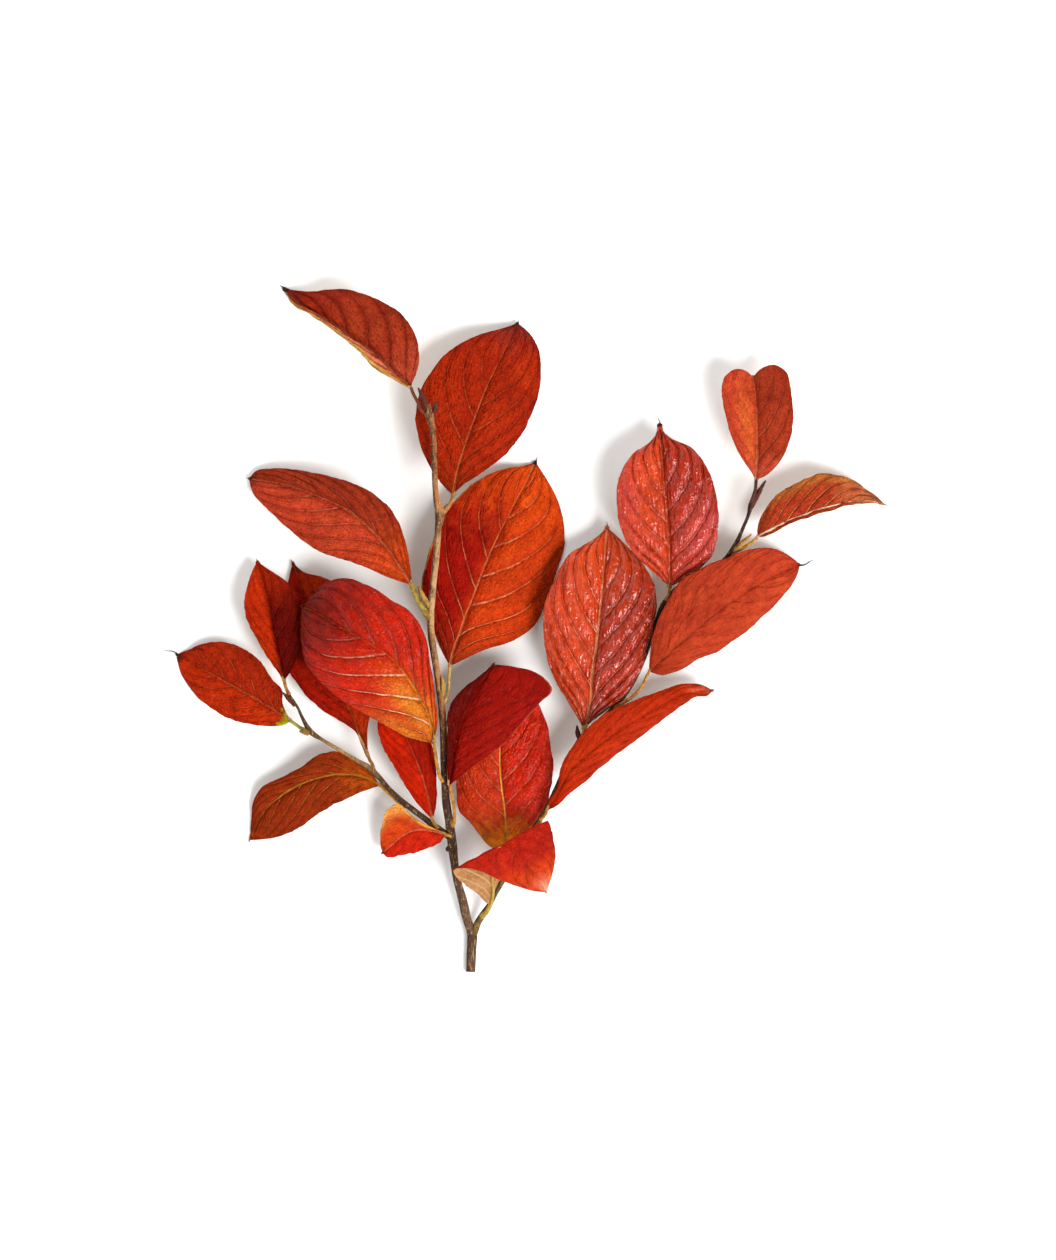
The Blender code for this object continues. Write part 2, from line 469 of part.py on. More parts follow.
def solid_mesh(name, vertices, faces):
    mesh = bpy.data.meshes.new(name)
    mesh.from_pydata([tuple(vertex) for vertex in vertices], [], faces)
    body = bmesh.new()
    body.from_mesh(mesh)
    bmesh.ops.recalc_face_normals(body, faces=body.faces)
    body.to_mesh(mesh)
    body.free()
    mesh.shade_smooth()
    return mesh


def tube_mesh(name, stations, sides):
    """A closed tube through (x, y, height, diameter) stations, a flat of it facing down."""
    centres = np.array([place(station) for station in stations])
    radii = [station[3] / 2 * MILLIMETRE for station in stations]
    forward = unit(np.gradient(centres, axis=0))
    vertices = []
    for centre, radius, ahead in zip(centres, radii, forward):
        side = unit(np.cross(ahead, (0.0, 0.0, 1.0)))
        up = np.cross(side, ahead)
        for corner in range(sides):
            angle = 2 * pi * (corner + 0.5) / sides
            vertices.append(centre + radius * (sin(angle) * side + cos(angle) * up))
    faces = []
    for station in range(len(stations) - 1):
        for corner in range(sides):
            a = station * sides + corner
            b = station * sides + (corner + 1) % sides
            faces.append((a, b, b + sides))
            faces.append((a, b + sides, a + sides))
    faces.append(tuple(range(sides)))
    last = (len(stations) - 1) * sides
    faces.append(tuple(range(last + sides - 1, last - 1, -1)))
    return solid_mesh(name, vertices, faces)


def linear_color(code):
    """A colour written as sRGB hex, as linear red, green, blue and alpha."""
    channels = []
    for start in (0, 2, 4):
        value = int(code[start:start + 2], 16) / 255
        channels.append(value / 12.92 if value <= 0.04045 else ((value + 0.055) / 1.055) ** 2.4)
    return (*channels, 1.0)


def finish(name, code, roughness):
    material = bpy.data.materials.new(name)
    material.use_nodes = True
    principled = material.node_tree.nodes["Principled BSDF"]
    principled.inputs["Base Color"].default_value = linear_color(code)
    principled.inputs["Roughness"].default_value = roughness
    principled.inputs["Metallic"].default_value = 0.0
    return material


def add_object(name, mesh):
    thing = bpy.data.objects.new(name, mesh)
    bpy.context.scene.collection.objects.link(thing)
    return thing


def add_guide(name, stations, sides):
    """A piece of wood that only serves to be joined onto the twig."""
    guide = add_object(name, tube_mesh(name, stations, sides))
    guide.hide_render = True
    guide.display_type = "WIRE"
    return guide


def build_twig():
    twig = add_object("twig", tube_mesh("twig", MAIN_STEM, TWIG_SIDES))
    twig.data.materials.append(finish("twig_bark", BARK_COLOR, 0.75))
    pieces = [
        add_guide("guide_left_shoot", LEFT_SHOOT, TWIG_SIDES),
        add_guide("guide_right_shoot", RIGHT_SHOOT, TWIG_SIDES),
        add_guide("guide_leaf_spur", LEAF_SPUR, BUD_SIDES),
        add_guide("guide_stem_knob", STEM_KNOB, BUD_SIDES),
    ]
    for name, stations in BUDS.items():
        pieces.append(add_guide("guide_bud_" + name, stations, BUD_SIDES))
    for piece in pieces:
        join = twig.modifiers.new("join_" + piece.name, "BOOLEAN")
        join.operation = "UNION"
        join.solver = "EXACT"
        join.object = piece


def build_leaves():
    for name, leaf in LEAVES.items():
        thing = add_object(name, leaf_mesh(name, leaf))
        thing.data.materials.append(finish(name + "_blade", leaf["color"], 0.5))


for old in list(bpy.data.objects):
    bpy.data.objects.remove(old, do_unlink=True)
build_twig()
build_leaves()
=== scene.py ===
from math import cos, pi, sin

import bpy
import numpy as np
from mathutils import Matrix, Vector, noise


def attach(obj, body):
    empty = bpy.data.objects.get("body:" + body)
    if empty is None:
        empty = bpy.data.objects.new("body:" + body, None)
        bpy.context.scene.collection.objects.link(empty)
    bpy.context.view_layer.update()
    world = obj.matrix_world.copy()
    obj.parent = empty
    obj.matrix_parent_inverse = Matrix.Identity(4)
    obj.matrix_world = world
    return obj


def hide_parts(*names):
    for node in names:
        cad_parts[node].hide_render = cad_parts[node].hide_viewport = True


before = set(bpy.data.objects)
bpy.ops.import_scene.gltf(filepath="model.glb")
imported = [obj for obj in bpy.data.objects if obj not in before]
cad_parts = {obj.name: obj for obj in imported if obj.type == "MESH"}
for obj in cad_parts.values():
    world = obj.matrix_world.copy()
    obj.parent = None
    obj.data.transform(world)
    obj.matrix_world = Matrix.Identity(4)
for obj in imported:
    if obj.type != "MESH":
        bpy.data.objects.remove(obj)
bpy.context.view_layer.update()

# The sprig lies on its floor as in the photograph, seen from straight above:
# photograph right is +X, photograph up is +Y. Shapes are read in the
# photograph's pixels, with heights in millimetres, as the solids' are.
millimetre = 0.001
sprigWidthPixels = 712
pixel = 0.2136 / sprigWidthPixels
photoCentre = (530.4, 629.3)
photoFrame = (1056, 1260)
scene = bpy.context.scene
bpy.ops.object.select_all(action="DESELECT")
print("frame loaded,", len(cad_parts), "nodes")


def place(point):
    x, y, height = point[:3]
    return np.array([(x - photoCentre[0]) * pixel, (photoCentre[1] - y) * pixel, height * millimetre])


def unit(vectors):
    length = np.linalg.norm(vectors, axis=-1, keepdims=True)
    return vectors / np.maximum(length, 1e-12)


def woodKnots(stations):
    # stations are x, y, height and diameter; knots are a place and a radius in metres
    return [np.append(place(station), station[3] * millimetre / 2) for station in stations]


def smoothCurve(points, steps):
    # a Catmull-Rom line with uneven knots, the same one that the solids follow
    points = np.asarray(points, dtype=float)
    chords = np.maximum(np.linalg.norm(np.diff(points[:, :3], axis=0), axis=1), 1e-9)
    slopes = np.diff(points, axis=0) / chords[:, None]
    tangents = np.empty_like(points)
    tangents[0] = slopes[0]
    tangents[-1] = slopes[-1]
    before = chords[:-1, None]
    after = chords[1:, None]
    tangents[1:-1] = (slopes[:-1] * after + slopes[1:] * before) / (before + after)
    line = [points[0]]
    for start, span in enumerate(chords):
        for step in range(1, steps + 1):
            s = step / steps
            line.append(
                (2 * s**3 - 3 * s**2 + 1) * points[start]
                + (s**3 - 2 * s**2 + s) * span * tangents[start]
                + (3 * s**2 - 2 * s**3) * points[start + 1]
                + (s**3 - s**2) * span * tangents[start + 1])
    return np.array(line)


def curveAt(points, fractions, crest=None):
    # points of the smooth curve at fractions of its length; a fold's crest lies at crestFraction
    steps = 24
    crestFraction = 0.45
    line = smoothCurve(points, steps)
    length = np.concatenate([[0.0], np.cumsum(np.linalg.norm(np.diff(line[:, :3], axis=0), axis=1))])
    if crest is None:
        placeInLine = length / length[-1]
    else:
        bend = length[crest * steps]
        rising = length / bend * crestFraction
        falling = crestFraction + (length - bend) / (length[-1] - bend) * (1 - crestFraction)
        placeInLine = np.where(length <= bend, rising, falling)
    return np.stack([np.interp(fractions, placeInLine, line[:, axis]) for axis in range(line.shape[1])], axis=1)


def linearColor(code):
    channels = []
    for start in (0, 2, 4):
        value = int(code[start:start + 2], 16) / 255
        channels.append(value / 12.92 if value <= 0.04045 else ((value + 0.055) / 1.055) ** 2.4)
    return (*channels, 1.0)


times = {"operation": "MULTIPLY"}
over = {"operation": "DIVIDE"}
less = {"operation": "SUBTRACT"}
timesPlus = {"operation": "MULTIPLY_ADD"}
eased = {"interpolation_type": "SMOOTHSTEP"}
rgba = {"data_type": "RGBA"}


def addNode(tree, kind, settings, inputs, output=0):
    # one shader node; an input takes a number, a hex colour or another node's socket
    node = tree.nodes.new("ShaderNode" + kind)
    for name, value in settings.items():
        setattr(node, name, value)
    for socket, value in inputs.items():
        if isinstance(value, bpy.types.NodeSocket):
            tree.links.new(value, node.inputs[socket])
        else:
            node.inputs[socket].default_value = linearColor(value) if isinstance(value, str) else value
    return node.outputs[output]


def newMaterial(name, roughness, specular):
    material = bpy.data.materials.new(name)
    material.use_nodes = True
    tree = material.node_tree
    skin = tree.nodes["Principled BSDF"]
    skin.inputs["Roughness"].default_value = roughness
    skin.inputs["Specular IOR Level"].default_value = specular
    return material, tree, skin


def selectOnly(pieces):
    # the last one is the active one
    bpy.ops.object.select_all(action="DESELECT")
    for piece in pieces:
        piece.select_set(True)
    bpy.context.view_layer.objects.active = pieces[-1]


def joinInto(target, others):
    selectOnly(others + [target])
    bpy.ops.object.join()
    return bpy.context.object


def coat(piece, material):
    # one smooth-shaded material all over
    piece.data.materials.clear()
    piece.data.materials.append(material)
    selectOnly([piece])
    bpy.ops.object.shade_smooth()


def roundTube(name, points, radii, sides):
    # a smooth bent tube with filled ends, as a mesh
    line = bpy.data.curves.new(name, "CURVE")
    line.dimensions = "3D"
    line.bevel_mode = "ROUND"
    line.bevel_depth = 1.0
    line.bevel_resolution = sides // 2 - 2
    line.use_fill_caps = True
    spline = line.splines.new("POLY")
    spline.points.add(len(points) - 1)
    for knot, point, radius in zip(spline.points, points, radii):
        knot.co = (*point, 1.0)
        knot.radius = radius
    tube = bpy.data.objects.new(name, line)
    scene.collection.objects.link(tube)
    selectOnly([tube])
    bpy.ops.object.convert(target="MESH")
    return bpy.context.object


# The leaves, as the solids have them: midrib from base to tip, left and right
# margins seen from the upper side with the tip ahead, and the stalk from the wood.
leafShapes = {
    "leaf_crown_left": dict(
        arch=0.6,
        stalk=[(422.6, 411, 18.6), (417, 401, 18.8), (412.5, 392, 18.7)],
        midrib=[(411, 387, 18.5), (391, 369, 17.0), (371, 351, 14.6), (350, 337, 11.8),
                (328, 320.5, 8.4), (303, 305, 4.4), (282, 286.5, 0.1)],
        left=[(405, 385, 19.4), (392, 378, 19.6), (377, 370.5, 18.4), (357, 350, 15.4),
              (334, 331.5, 11.6), (310, 315, 7.2), (291, 303, 3.4)],
        right=[(414, 380, 20.0), (419, 362, 20.6), (417, 341, 19.8), (402, 315, 17.4),
               (380, 301, 14.4), (350, 290, 10.6), (325, 289, 7.4), (304, 290.5, 4.2)]),
    "leaf_crown": dict(
        arch=0.7,
        stalk=[(450.0, 504.0, 16.7), (452.3, 499.2, 16.3)],
        midrib=[(453, 496, 16.0), (458, 470, 14.4), (467, 440, 12.0), (478, 410, 9.6),
                (490, 380, 7.0), (505, 350, 4.2), (518, 322, 1.6)],
        left=[(446, 489, 16.0), (433, 472, 15.4), (421, 447, 14.8), (416, 420, 14.2),
              (419, 397, 13.0), (431, 372, 11.2), (452, 349, 8.8), (478, 335, 6.4),
              (505, 327, 3.6)],
        right=[(462, 487, 15.0), (482, 473, 12.2), (503, 457, 9.4), (521, 436, 6.0),
               (533, 412, 3.0), (541, 382, 0.5), (541, 356, 0.2), (533, 336, 0.6)]),
    "leaf_left_upper": dict(
        arch=0.6,
        stalk=[(425.6, 611.5, 16.3), (417.5, 599, 16.4), (413.5, 590, 16.5)],
        midrib=[(412, 585, 16.5), (396, 560, 15.4), (378, 537, 13.8), (352, 513, 11.2),
                (320, 497, 8.0), (286, 485, 4.8), (248, 478, 1.6)],
        left=[(403, 582.5, 17.0), (385, 576, 17.0), (365, 567, 16.2), (345, 560, 15.0),
              (325, 554, 13.6), (305, 542, 11.2), (285, 526, 8.8), (265, 507, 5.8),
              (251, 490, 3.0)],
        right=[(411, 572, 17.2), (408, 552, 17.0), (401, 528, 16.4), (388, 506, 15.2),
               (368, 490, 13.2), (340, 479, 10.6), (305, 471, 7.4), (270, 468, 3.8),
               (254, 471, 2.0)]),
    "leaf_centre": dict(
        arch=0.8,
        stalk=[(446.6, 697.5, 13.7), (448.5, 688, 13.2), (449, 677, 12.6)],
        midrib=[(450, 667, 12.0), (453, 653, 11.4), (460, 633, 10.2), (475, 592, 7.8),
                (491, 552, 5.6), (508, 516, 3.6), (524, 486, 2.0), (536, 461, 0.8)],
        left=[(443, 654, 12.2), (432, 625, 12.4), (422, 585, 12.2), (430, 550, 11.4),
              (444, 515, 10.2), (463, 492, 8.6), (486, 475.5, 6.4), (508, 467.5, 3.8),
              (526, 464.5, 1.8)],
        right=[(464, 660, 10.4), (485, 650, 8.0), (515, 640, 4.6), (534, 626, 2.4),
               (546, 602, 1.1), (556, 575, 0.6), (564, 548, 0.3), (564, 520, 0.3),
               (556, 495, 0.6), (546, 477, 0.7)]),
    "leaf_centre_left": dict(
        arch=1.2,
        stalk=[(440.2, 776.5, 12.9), (437.5, 766, 13.7), (435.5, 754, 14.1)],
        midrib=[(434, 744, 14.4), (428, 713, 15.6), (411, 683, 17.0), (391, 658, 17.8),
                (365, 641, 17.6), (335, 624, 15.8), (313, 611, 13.2), (301, 606, 11.4)],
        left=[(421, 741.5, 13.6), (402, 735.5, 13.4), (385, 725.5, 13.6), (368, 716, 14.0),
              (350, 706, 14.2), (333, 693.5, 14.0), (316, 677, 13.4), (304, 660, 12.6),
              (300.5, 636, 11.8), (300, 620, 11.4)],
        right=[(438, 728, 15.4), (436, 700, 17.2), (431, 665, 18.6), (426, 637, 19.0),
               (413, 614, 18.8), (392, 600, 18.4), (366, 584, 17.4), (344, 578, 16.0),
               (323, 585, 14.0), (309, 598, 12.4)]),
    "leaf_left_shoot_end": dict(
        arch=0.4,
        stalk=[(286, 687.7, 9.1), (285, 684, 9.1)],
        midrib=[(284.5, 681, 9.0), (279, 660, 8.4), (273, 635, 7.8), (268, 605, 7.0),
                (263, 582, 6.2), (257, 561, 5.2)],
        left=[(279, 673, 9.6), (268, 658, 9.8), (258, 641, 9.6), (248, 622, 9.4),
              (244, 605, 8.8), (248, 584, 7.8), (253, 569, 6.3)],
        right=[(291, 671, 9.0), (299, 654, 9.0), (303, 628, 9.0), (300, 601, 8.8),
               (287, 582, 8.2), (273, 572, 7.2), (264, 566, 6.1)]),
    "leaf_left_shoot_back": dict(
        arch=0.5,
        stalk=[(372.2, 763.8, 9.5), (370.4, 761, 9.3)],
        midrib=[(368.5, 757, 9.0), (357, 727, 8.2), (340, 688, 7.0), (321, 640, 5.4),
                (304, 595, 3.4), (292, 562, 1.4)],
        left=[(364, 748, 8.8), (354, 731, 8.2), (338, 720, 7.6), (320, 708.5, 7.0),
              (303, 692, 6.2), (289, 671, 5.2), (283, 635, 4.0), (284, 598, 2.8),
              (289, 574, 1.8)],
        right=[(368, 746, 8.8), (368, 728, 8.4), (372, 705, 8.0), (374, 680, 7.6),
               (368, 650, 7.0), (354, 615, 6.0), (334, 582.5, 4.2), (318, 575.5, 3.0),
               (303, 571, 2.0)]),
    "leaf_far_left": dict(
        arch=0.5,
        stalk=[(300.5, 727.8, 8.9), (295.5, 724.2, 8.9)],
        midrib=[(291, 721, 8.8), (268, 706, 7.8), (240, 690, 6.0), (210, 673.5, 3.6),
                (188, 661, 1.8), (175, 654.5, 0.15)],
        left=[(284, 725, 9.0), (268, 726, 8.4), (248, 723.5, 7.0), (228, 718.5, 5.2),
              (208, 706.5, 3.2), (192, 692.5, 1.8), (181, 676, 0.8)],
        right=[(287, 714, 9.0), (282.5, 702, 9.0), (282.5, 691, 8.9), (273, 680, 8.6),
               (260, 661, 7.6), (243, 648.5, 6.2), (222, 642, 4.4), (203, 643.5, 2.8),
               (187, 649.5, 1.2)]),
    "leaf_low_left": dict(
        arch=0.6,
        stalk=[(402, 804.5, 7.3), (392, 796.5, 7.4), (384, 789, 7.4)],
        midrib=[(381, 786, 7.3), (365, 777.5, 7.0), (340, 774.5, 6.4), (312, 780, 5.0),
                (286, 793, 3.4), (266, 809, 1.8), (249, 841, 0.3)],
        left=[(370, 789, 6.6), (350, 797.5, 5.2), (330, 807, 3.8), (314, 817.5, 2.6),
              (298, 828.5, 1.6), (280, 836.5, 0.9), (262, 840, 0.5)],
        right=[(372, 773.5, 7.6), (355, 760.5, 7.8), (338, 751.5, 7.8), (322, 753.5, 7.4),
               (300, 767.5, 6.8), (280, 778, 5.6), (262, 787, 4.2), (252, 803, 2.4),
               (250, 823, 1.1)]),
    "leaf_low_small": dict(
        arch=0.4,
        stalk=[(448.8, 835.4, 10.8), (447.2, 835, 10.8)],
        midrib=[(445.5, 834.5, 10.8), (432, 831, 10.4), (416, 830, 9.7), (403, 835.5, 8.4),
                (393, 844, 7.0), (382, 853.5, 5.6)],
        left=[(441, 842, 10.0), (430, 847.5, 9.0), (414, 853, 7.6), (398, 856.5, 6.4),
              (387, 857.5, 5.6)],
        right=[(440, 830.5, 10.9), (433, 827.5, 10.8), (421, 821.5, 10.6), (409, 812.5, 10.3),
               (397, 803.5, 9.8), (387, 809.5, 8.8), (381, 828, 7.0), (380, 843, 6.0)]),
    "leaf_behind_centre": dict(
        arch=0.4,
        stalk=[(434.6, 823.8, 10.0), (433.6, 822, 10.3)],
        midrib=[(432.5, 820, 10.5), (429, 800, 10.6), (422, 775, 10.6), (412, 750, 10.4),
                (400, 725, 9.8), (386, 701, 9.0)],
        left=[(426, 813, 10.8), (417, 803, 11.1), (408, 790, 11.2), (399, 774.5, 11.2),
              (389, 758.5, 11.0), (381, 742.5, 10.4), (377.5, 728, 9.8), (379, 713, 9.2)],
        right=[(435.5, 810, 10.8), (437, 795, 11.1), (436.5, 772, 11.2), (433, 750, 11.0),
               (425, 727, 10.6), (407, 708, 9.7)]),
    "leaf_stem_right": dict(
        arch=0.7,
        stalk=[(454.2, 821.5, 10.6), (454, 808, 11.5), (451.5, 793, 12.6)],
        midrib=[(449.5, 785, 13.4), (453, 757, 13.2), (461, 724, 13.0), (475, 694, 12.4),
                (494, 664, 11.2)],
        left=[(448, 775, 14.8), (447.3, 755, 15.8), (447.5, 730, 16.4), (450, 706, 16.2),
              (462, 689.5, 15.0), (478, 677, 13.2)],
        right=[(458, 779, 14.4), (475, 765, 15.6), (500, 747, 16.4), (520, 725, 16.6),
               (540, 703, 16.2), (552, 690, 15.4), (545, 678.5, 14.2), (530, 670, 13.2),
               (512, 666, 12.0)]),
    "leaf_stem_right_back": dict(
        arch=0.6,
        stalk=[(505.0, 866.4, 7.1), (506.6, 862, 6.9)],
        midrib=[(507.5, 856, 6.6), (507, 838, 6.8), (505, 812, 7.4), (501, 780, 8.0),
                (500, 750, 8.4), (505, 715, 8.4), (512, 682, 8.0)],
        left=[(500, 852, 6.8), (488, 845, 7.2), (473, 826, 7.6), (459, 810, 7.8),
              (456, 790, 8.0), (460, 760, 8.4), (470, 725, 8.6), (487, 697, 8.4)],
        right=[(514, 852, 6.2), (528, 840, 6.0), (541, 824, 6.2), (548, 802, 6.8),
               (553, 775, 7.4), (551, 745, 7.9), (544, 715, 8.1), (530, 693, 8.1)]),
    "leaf_folded": dict(
        arch=0.3, fold=(5, 4, 4),
        stalk=[(486.4, 912.6, 6.0), (488.6, 908.8, 6.8)],
        midrib=[(490.5, 905, 7.6), (493, 891, 11.0), (492, 877, 14.6), (495, 859, 18.8),
                (503, 843.5, 21.2), (515, 852, 20.6), (527, 867, 18.6), (537, 880, 16.6),
                (546.5, 892.5, 14.2)],
        left=[(494, 893, 10.8), (499, 882, 13.0), (508, 868, 15.6), (525, 846, 18.4),
              (539, 829, 19.6), (547, 820, 20.0), (553, 836, 19.4), (555.5, 852, 18.4),
              (553.5, 870, 16.6), (550, 881.5, 15.2)],
        right=[(486, 902.5, 8.8), (478, 893.5, 10.8), (466, 884.5, 13.4), (456.5, 876, 16.0),
               (453, 869, 18.0), (466, 867.5, 18.8), (480, 871, 18.6), (500, 879.5, 17.2),
               (516, 885.5, 16.0), (532, 890.5, 15.0)]),
    "leaf_low_right": dict(
        arch=0.5,
        stalk=[(544.8, 815, 10.4), (545.8, 813, 10.7)],
        midrib=[(546.5, 811, 11.0), (556, 796, 12.2), (570, 771, 13.2), (595, 748, 13.4),
                (625, 727, 12.2), (655, 709, 10.2), (685, 694, 8.0), (714, 690.5, 6.0)],
        left=[(549.5, 800, 12.2), (557, 788, 13.4), (560, 770, 14.4), (569, 751, 15.0),
              (583, 733, 15.2), (601, 716, 14.8), (625, 704, 13.4), (655, 692.5, 11.2),
              (685, 683.5, 8.8), (703, 685, 7.2)],
        right=[(556, 806.5, 11.0), (571, 793.5, 11.0), (586, 781, 10.4), (600, 768, 9.6),
               (622, 750, 8.4), (645, 734, 7.2), (665, 719, 6.6), (682, 706.5, 6.2),
               (696, 697.5, 6.0), (707, 696.5, 6.0)]),
    "leaf_right_glossy": dict(
        arch=0.7,
        stalk=[(582, 736.1, 11.0), (583, 733.5, 11.1)],
        midrib=[(583.5, 730, 11.2), (590, 705, 10.8), (592, 675, 10.0), (595.5, 650, 9.4),
                (599, 620, 9.0), (602, 590, 8.6), (604.5, 560, 7.8), (607, 526, 6.6)],
        left=[(577, 718, 11.4), (566, 699, 11.2), (555, 681, 11.0), (546, 655, 10.6),
              (543, 628, 10.2), (546, 599, 9.8), (555, 578, 9.2), (568, 555, 8.6),
              (583, 544.5, 7.8), (597, 535.5, 7.0)],
        right=[(589.5, 724, 11.4), (605, 712, 11.5), (622, 698, 11.6), (640, 672, 11.6),
               (648, 645, 11.5), (656, 612, 11.3), (655, 588, 10.7), (645, 567, 9.9),
               (630, 549, 8.9), (615, 533.5, 7.4)]),
    "leaf_right_upper": dict(
        arch=0.7,
        stalk=[(668.5, 594, 11.0), (669, 591, 11.7)],
        midrib=[(669.5, 588, 12.1), (669.5, 560, 12.6), (668, 530, 12.8), (665.5, 500, 12.6),
                (663, 470, 12.0), (661, 443, 11.0), (659.5, 424, 9.8)],
        left=[(662, 581, 12.8), (649, 569, 13.6), (633, 553, 14.4), (622, 533, 14.6),
              (616.5, 506, 14.6), (620, 475, 14.2), (633, 453.5, 13.2), (650, 441, 12.0),
              (656.5, 432, 10.8)],
        right=[(681, 582, 12.4), (699, 570, 12.8), (712, 555, 13.4), (718, 528, 14.2),
               (716, 495, 14.4), (706, 466, 14.0), (690, 446.5, 13.0), (672, 438.5, 11.8),
               (663, 431, 10.7)]),
    "leaf_right_broad": dict(
        arch=0.9,
        stalk=[(620.2, 704.5, 10.6), (632, 697, 11.2), (643, 684, 12.6)],
        midrib=[(648.5, 672, 13.2), (672, 650, 13.8), (700, 626, 12.8), (730, 603, 10.6),
                (762, 582, 6.6), (801, 564, 0.1)],
        left=[(649.5, 655, 14.2), (654, 630, 15.0), (665, 605, 15.4), (684, 578, 15.6),
              (703, 567.5, 15.2), (725, 558, 14.0), (750, 549.5, 11.2), (778, 549.5, 6.4),
              (791, 556.5, 3.0)],
        right=[(662, 675.5, 12.6), (680, 669.5, 10.6), (700, 660.5, 8.4), (721, 650, 6.2),
               (741, 635.5, 4.2), (760, 620, 2.4), (779, 601.5, 1.0), (793, 585, 0.5),
               (799, 573, 0.4)]),
    "leaf_notched": dict(
        arch=0.5,
        stalk=[(753.5, 495.2, 13.3), (755, 490, 13.3), (755.5, 485, 13.3)],
        midrib=[(756, 480, 13.2), (757, 455, 12.6), (757, 430, 12.0), (756, 403, 11.0),
                (753, 376, 9.6)],
        left=[(751, 472.5, 13.8), (741, 458, 14.2), (732, 439, 14.2), (725, 414, 13.8),
              (721.5, 391, 13.0), (725, 376.5, 12.0), (736, 369, 11.0), (747, 371.5, 10.2)],
        right=[(763, 477.5, 13.8), (775, 467.5, 14.4), (786, 450, 14.8), (792.5, 425, 14.6),
               (791, 395, 13.8), (785, 371.5, 12.6), (773, 364.5, 11.4), (760, 369, 10.2)]),
    "leaf_far_right": dict(
        arch=0.5,
        stalk=[(738.9, 550, 10.4), (748, 545, 11.0), (754, 540.5, 11.4)],
        midrib=[(757, 537.5, 11.6), (775, 528, 11.4), (800, 517, 10.2), (825, 508, 8.2),
                (850, 502.5, 5.6), (870, 501.5, 2.8), (886.5, 505, 0.1)],
        left=[(757, 528, 12.2), (764, 510.5, 12.6), (776, 495.5, 12.0), (796, 483, 10.6),
              (823, 473.5, 8.6), (848, 477.5, 6.0), (868, 489.5, 3.2), (880, 498, 1.4)],
        right=[(762, 538.5, 10.4), (776, 532, 8.2), (800, 520.5, 5.6), (825, 511.5, 3.4),
               (850, 505.5, 1.6), (870, 503.5, 0.6), (881, 504.5, 0.4)]),
}
# The wood, as the solids have it: x, y, height and diameter.
stemDiameter = 2.85
stemRest = stemDiameter / 2 * cos(pi / 8)
mainStem = [
    (470.5, 972.5, stemRest, stemDiameter), (471.5, 948, stemRest, stemDiameter),
    (472, 935, 1.9, 3.0), (467, 920, 2.9, 2.7), (462.5, 900, 4.3, 2.6), (457, 880, 5.6, 2.4),
    (454, 860, 7.0, 2.4), (452.5, 846, 7.9, 2.9), (451, 834, 8.6, 2.8), (449, 820, 9.4, 2.5),
    (446, 800, 10.5, 2.4), (445, 780, 11.5, 2.3), (444, 760, 12.4, 2.2), (443.5, 730, 13.5, 2.1),
    (441, 700, 14.4, 2.1), (435.5, 662, 15.3, 2.1), (431.5, 636, 15.8, 2.1), (431, 610, 16.2, 2.2),
    (433, 588, 16.6, 2.0), (436.5, 555, 17.0, 2.0), (438.5, 528, 17.3, 2.1), (440, 514, 17.5, 3.0),
    (437, 500, 17.7, 2.0), (434.5, 465, 18.1, 1.8), (432.5, 428, 18.4, 1.9), (429, 412, 18.5, 2.5),
    (427.5, 405, 18.6, 1.6),
]
leftShoot = [
    (449, 838, 8.4, 1.4), (443, 832, 8.5, 2.0), (433, 825, 8.5, 1.9), (420, 815, 8.6, 1.8),
    (410, 807.5, 8.8, 1.8), (400, 799.5, 9.0, 1.7), (390, 790, 9.3, 1.6), (380, 778.5, 9.6, 1.6),
    (369, 767.5, 9.9, 1.7), (357, 760.5, 10.1, 1.2), (338, 749, 10.1, 1.1), (322, 739.5, 9.9, 1.1),
    (311, 732, 9.6, 1.7), (304, 721, 9.4, 1.1), (297.5, 707, 9.2, 0.9), (290, 696, 9.1, 0.9),
    (286.5, 689.5, 9.1, 0.8),
]
rightShoot = [
    (472, 940, 1.7, 1.4), (474.5, 932, 2.3, 2.2), (478, 922.5, 3.2, 2.1), (483.5, 914, 4.0, 2.0),
    (489, 906, 4.8, 1.7), (495.5, 893, 5.9, 1.7), (503, 880, 6.9, 1.7), (511, 866, 7.8, 1.7),
    (520, 850, 8.5, 1.6), (535, 827, 8.9, 1.6), (548, 806, 9.1, 1.6), (560, 780, 9.3, 1.5),
    (570, 758, 9.5, 1.5), (579, 741, 9.6, 1.6), (598, 722, 9.6, 1.5), (613, 709, 9.5, 1.7),
    (630, 687, 9.5, 1.4), (645, 656, 9.6, 1.3), (655, 625, 9.7, 1.3), (664, 603, 9.8, 1.5),
    (678, 587, 9.9, 1.2), (703, 573, 10.1, 1.2), (726, 558, 10.4, 1.3), (735, 545.5, 10.8, 1.5),
    (742, 530, 11.4, 1.1), (748.5, 514, 12.0, 1.1), (751, 504, 12.3, 1.5), (752, 500.5, 12.4, 1.0),
]
leafSpur = [(439, 516, 17.5, 1.6), (444, 511.5, 17.3, 1.7), (449, 505.5, 16.9, 1.5)]
stemKnob = [(451, 847, 7.9, 1.8), (447.5, 849, 8.0, 1.6), (445.5, 849, 8.0, 0.8)]

